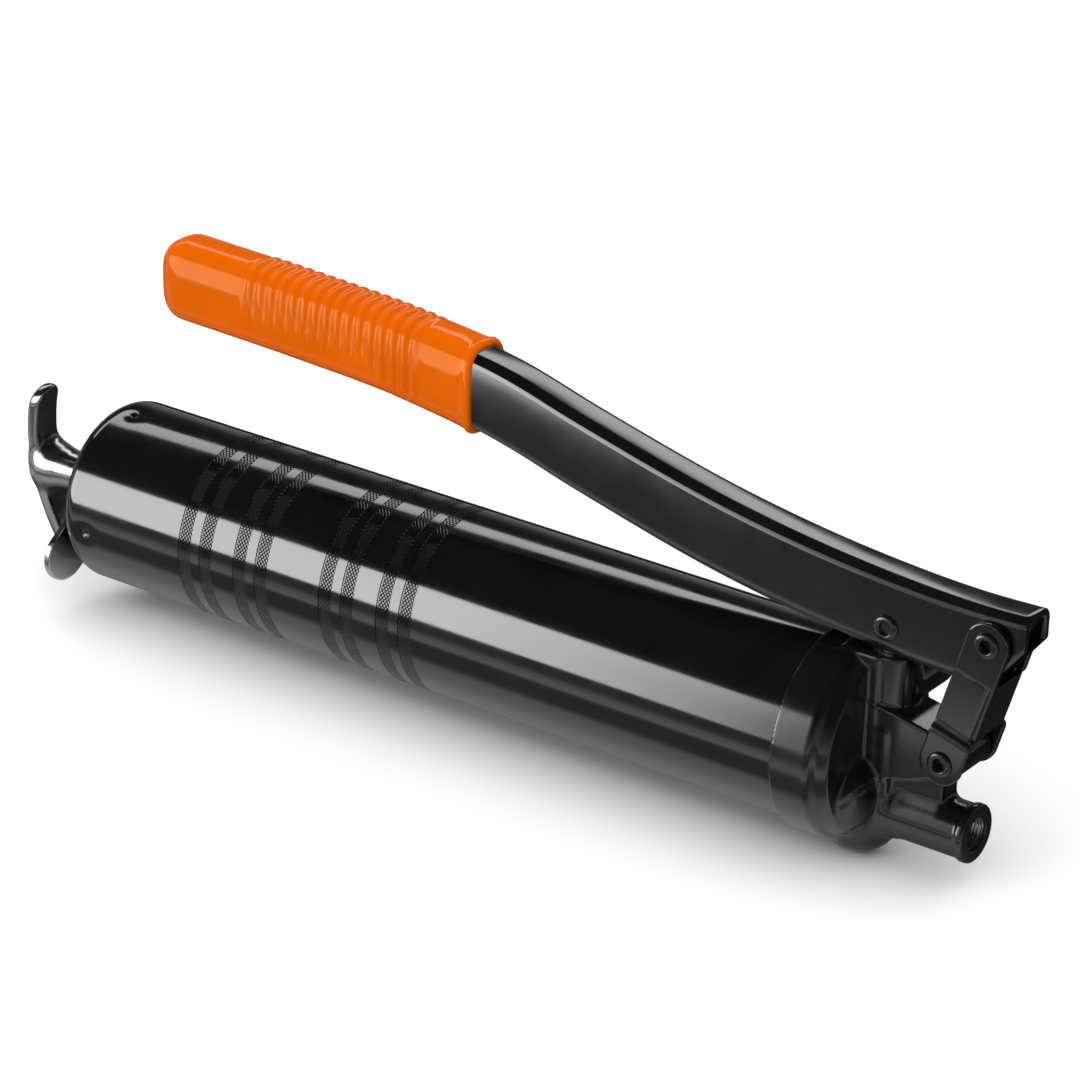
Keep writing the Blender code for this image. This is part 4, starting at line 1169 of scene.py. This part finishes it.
ROOM_LEVELS = ((0.0, 0.28), (0.14, 0.24), (0.3, 0.06), (0.5, 0.02))  # height of the direction, level


def world():
    """White where the camera looks past the floor; a dim room above a paler horizon for the rest."""
    room = bpy.data.worlds.new("room")
    room.use_nodes = True
    tree = room.node_tree
    back = tree.nodes["Background"]
    place = tree.nodes.new("ShaderNodeTexCoord")
    split = tree.nodes.new("ShaderNodeSeparateXYZ")
    ramp = tree.nodes.new("ShaderNodeValToRGB")
    path = tree.nodes.new("ShaderNodeLightPath")
    mix = tree.nodes.new("ShaderNodeMix")
    mix.data_type = "RGBA"
    fill_ramp(ramp, ROOM_LEVELS)
    tree.links.new(place.outputs["Generated"], split.inputs[0])
    tree.links.new(split.outputs["Z"], ramp.inputs["Fac"])
    tree.links.new(path.outputs["Is Camera Ray"], mix.inputs["Factor"])
    tree.links.new(ramp.outputs["Color"], mix.inputs["A"])
    mix.inputs["B"].default_value = (1, 1, 1, 1)
    tree.links.new(mix.outputs["Result"], back.inputs["Color"])
    bpy.context.scene.world = room
    bpy.context.scene.view_settings.view_transform = "Standard"


def card(name, corners, along, stops):
    """A glowing card seen only in reflections; stops are (place along the axis, radiance)."""
    material = bpy.data.materials.new(name)
    material.use_nodes = True
    tree = material.node_tree
    tree.nodes.clear()
    place = tree.nodes.new("ShaderNodeTexCoord")
    split = tree.nodes.new("ShaderNodeSeparateXYZ")
    reach = tree.nodes.new("ShaderNodeMapRange")
    curve = tree.nodes.new("ShaderNodeValToRGB")
    glow = tree.nodes.new("ShaderNodeEmission")
    out = tree.nodes.new("ShaderNodeOutputMaterial")
    first, last = stops[0][0], stops[-1][0]
    peak = max(level for _, level in stops)
    reach.inputs["From Min"].default_value = first
    reach.inputs["From Max"].default_value = last
    glow.inputs["Strength"].default_value = peak
    fill_ramp(curve, [((at - first) / (last - first), level / peak) for at, level in stops])
    tree.links.new(place.outputs["Object"], split.inputs[0])
    tree.links.new(split.outputs[along], reach.inputs["Value"])
    tree.links.new(reach.outputs["Result"], curve.inputs["Fac"])
    tree.links.new(curve.outputs["Color"], glow.inputs["Color"])
    tree.links.new(glow.outputs["Emission"], out.inputs["Surface"])
    thing = flat_sheet(name, corners, material)
    for rays in ("visible_camera", "visible_diffuse", "visible_shadow", "visible_transmission"):
        setattr(thing, rays, False)


SIDE_CARD_Y = -0.275
SIDE_CARD_X = (-0.8, 0.15)
SIDE_CARD_Z = (0.004, 0.205)
SIDE_LEVELS = (  # along X
    (-0.8, 4.5), (-0.45, 6.2), (-0.16, 6.2), (-0.1, 5.0), (-0.055, 3.5), (-0.02, 1.75), (0.0, 0.7),
    (0.15, 0.25),
)
FLOOR_CARD_X = (-1.2, 1.5)
FLOOR_CARD_Y = (-0.7, 1.5)
FLOOR_CARD_Z = 0.001
FLOOR_LEVELS = (  # along Y, how bright the floor looks in the gun's gloss
    (-0.7, 0.12), (-0.2, 0.15), (-0.13, 0.2), (-0.08, 0.9), (-0.073, 0.17), (-0.047, 0.15), (-0.041, 0.57),
    (-0.02, 0.63), (-0.005, 0.17), (0.01, 0.06), (0.06, 0.03), (1.5, 0.02),
)


def lights():
    (left, right), (low, high), y = SIDE_CARD_X, SIDE_CARD_Z, SIDE_CARD_Y
    card("side_card", [(left, y, low), (right, y, low), (right, y, high), (left, y, high)], "X", SIDE_LEVELS)
    (left, right), (front, back), z = FLOOR_CARD_X, FLOOR_CARD_Y, FLOOR_CARD_Z
    corners = [(left, front, z), (right, front, z), (right, back, z), (left, back, z)]
    card("floor_card", corners, "Y", FLOOR_LEVELS)
    panel("rear_strip", (-0.43, 0.43, 0.60), 1.3, 0.15, 2.8, target=(0.0, 0.0, 0.06), diffuse=False)
    panel("overhead", (0.0, -0.1, 1.6), 6.0, 6.0, 1.5, glossy=False)
    panel("key", (-0.6, -1.2, 0.9), 1.2, 1.2, 1.8, glossy=False)


camera()
world()
floor()
lights()
barrel()
pump_head()
bleed_valve()
outlet_thread()
lever()
grip()
link()
rivet("plunger_pin", "hand_lever", (PUMP_X, PLUNGER_PIVOT_Z))
rivet("lever_pin", "rocking_link", LEVER_PIVOT)
rivet("link_pin", "gun_body", LINK_PIVOT)
pull_handle()
rod_latch()
rear_cap()
follower_rod()
springs()
plunger()
kept_parts()
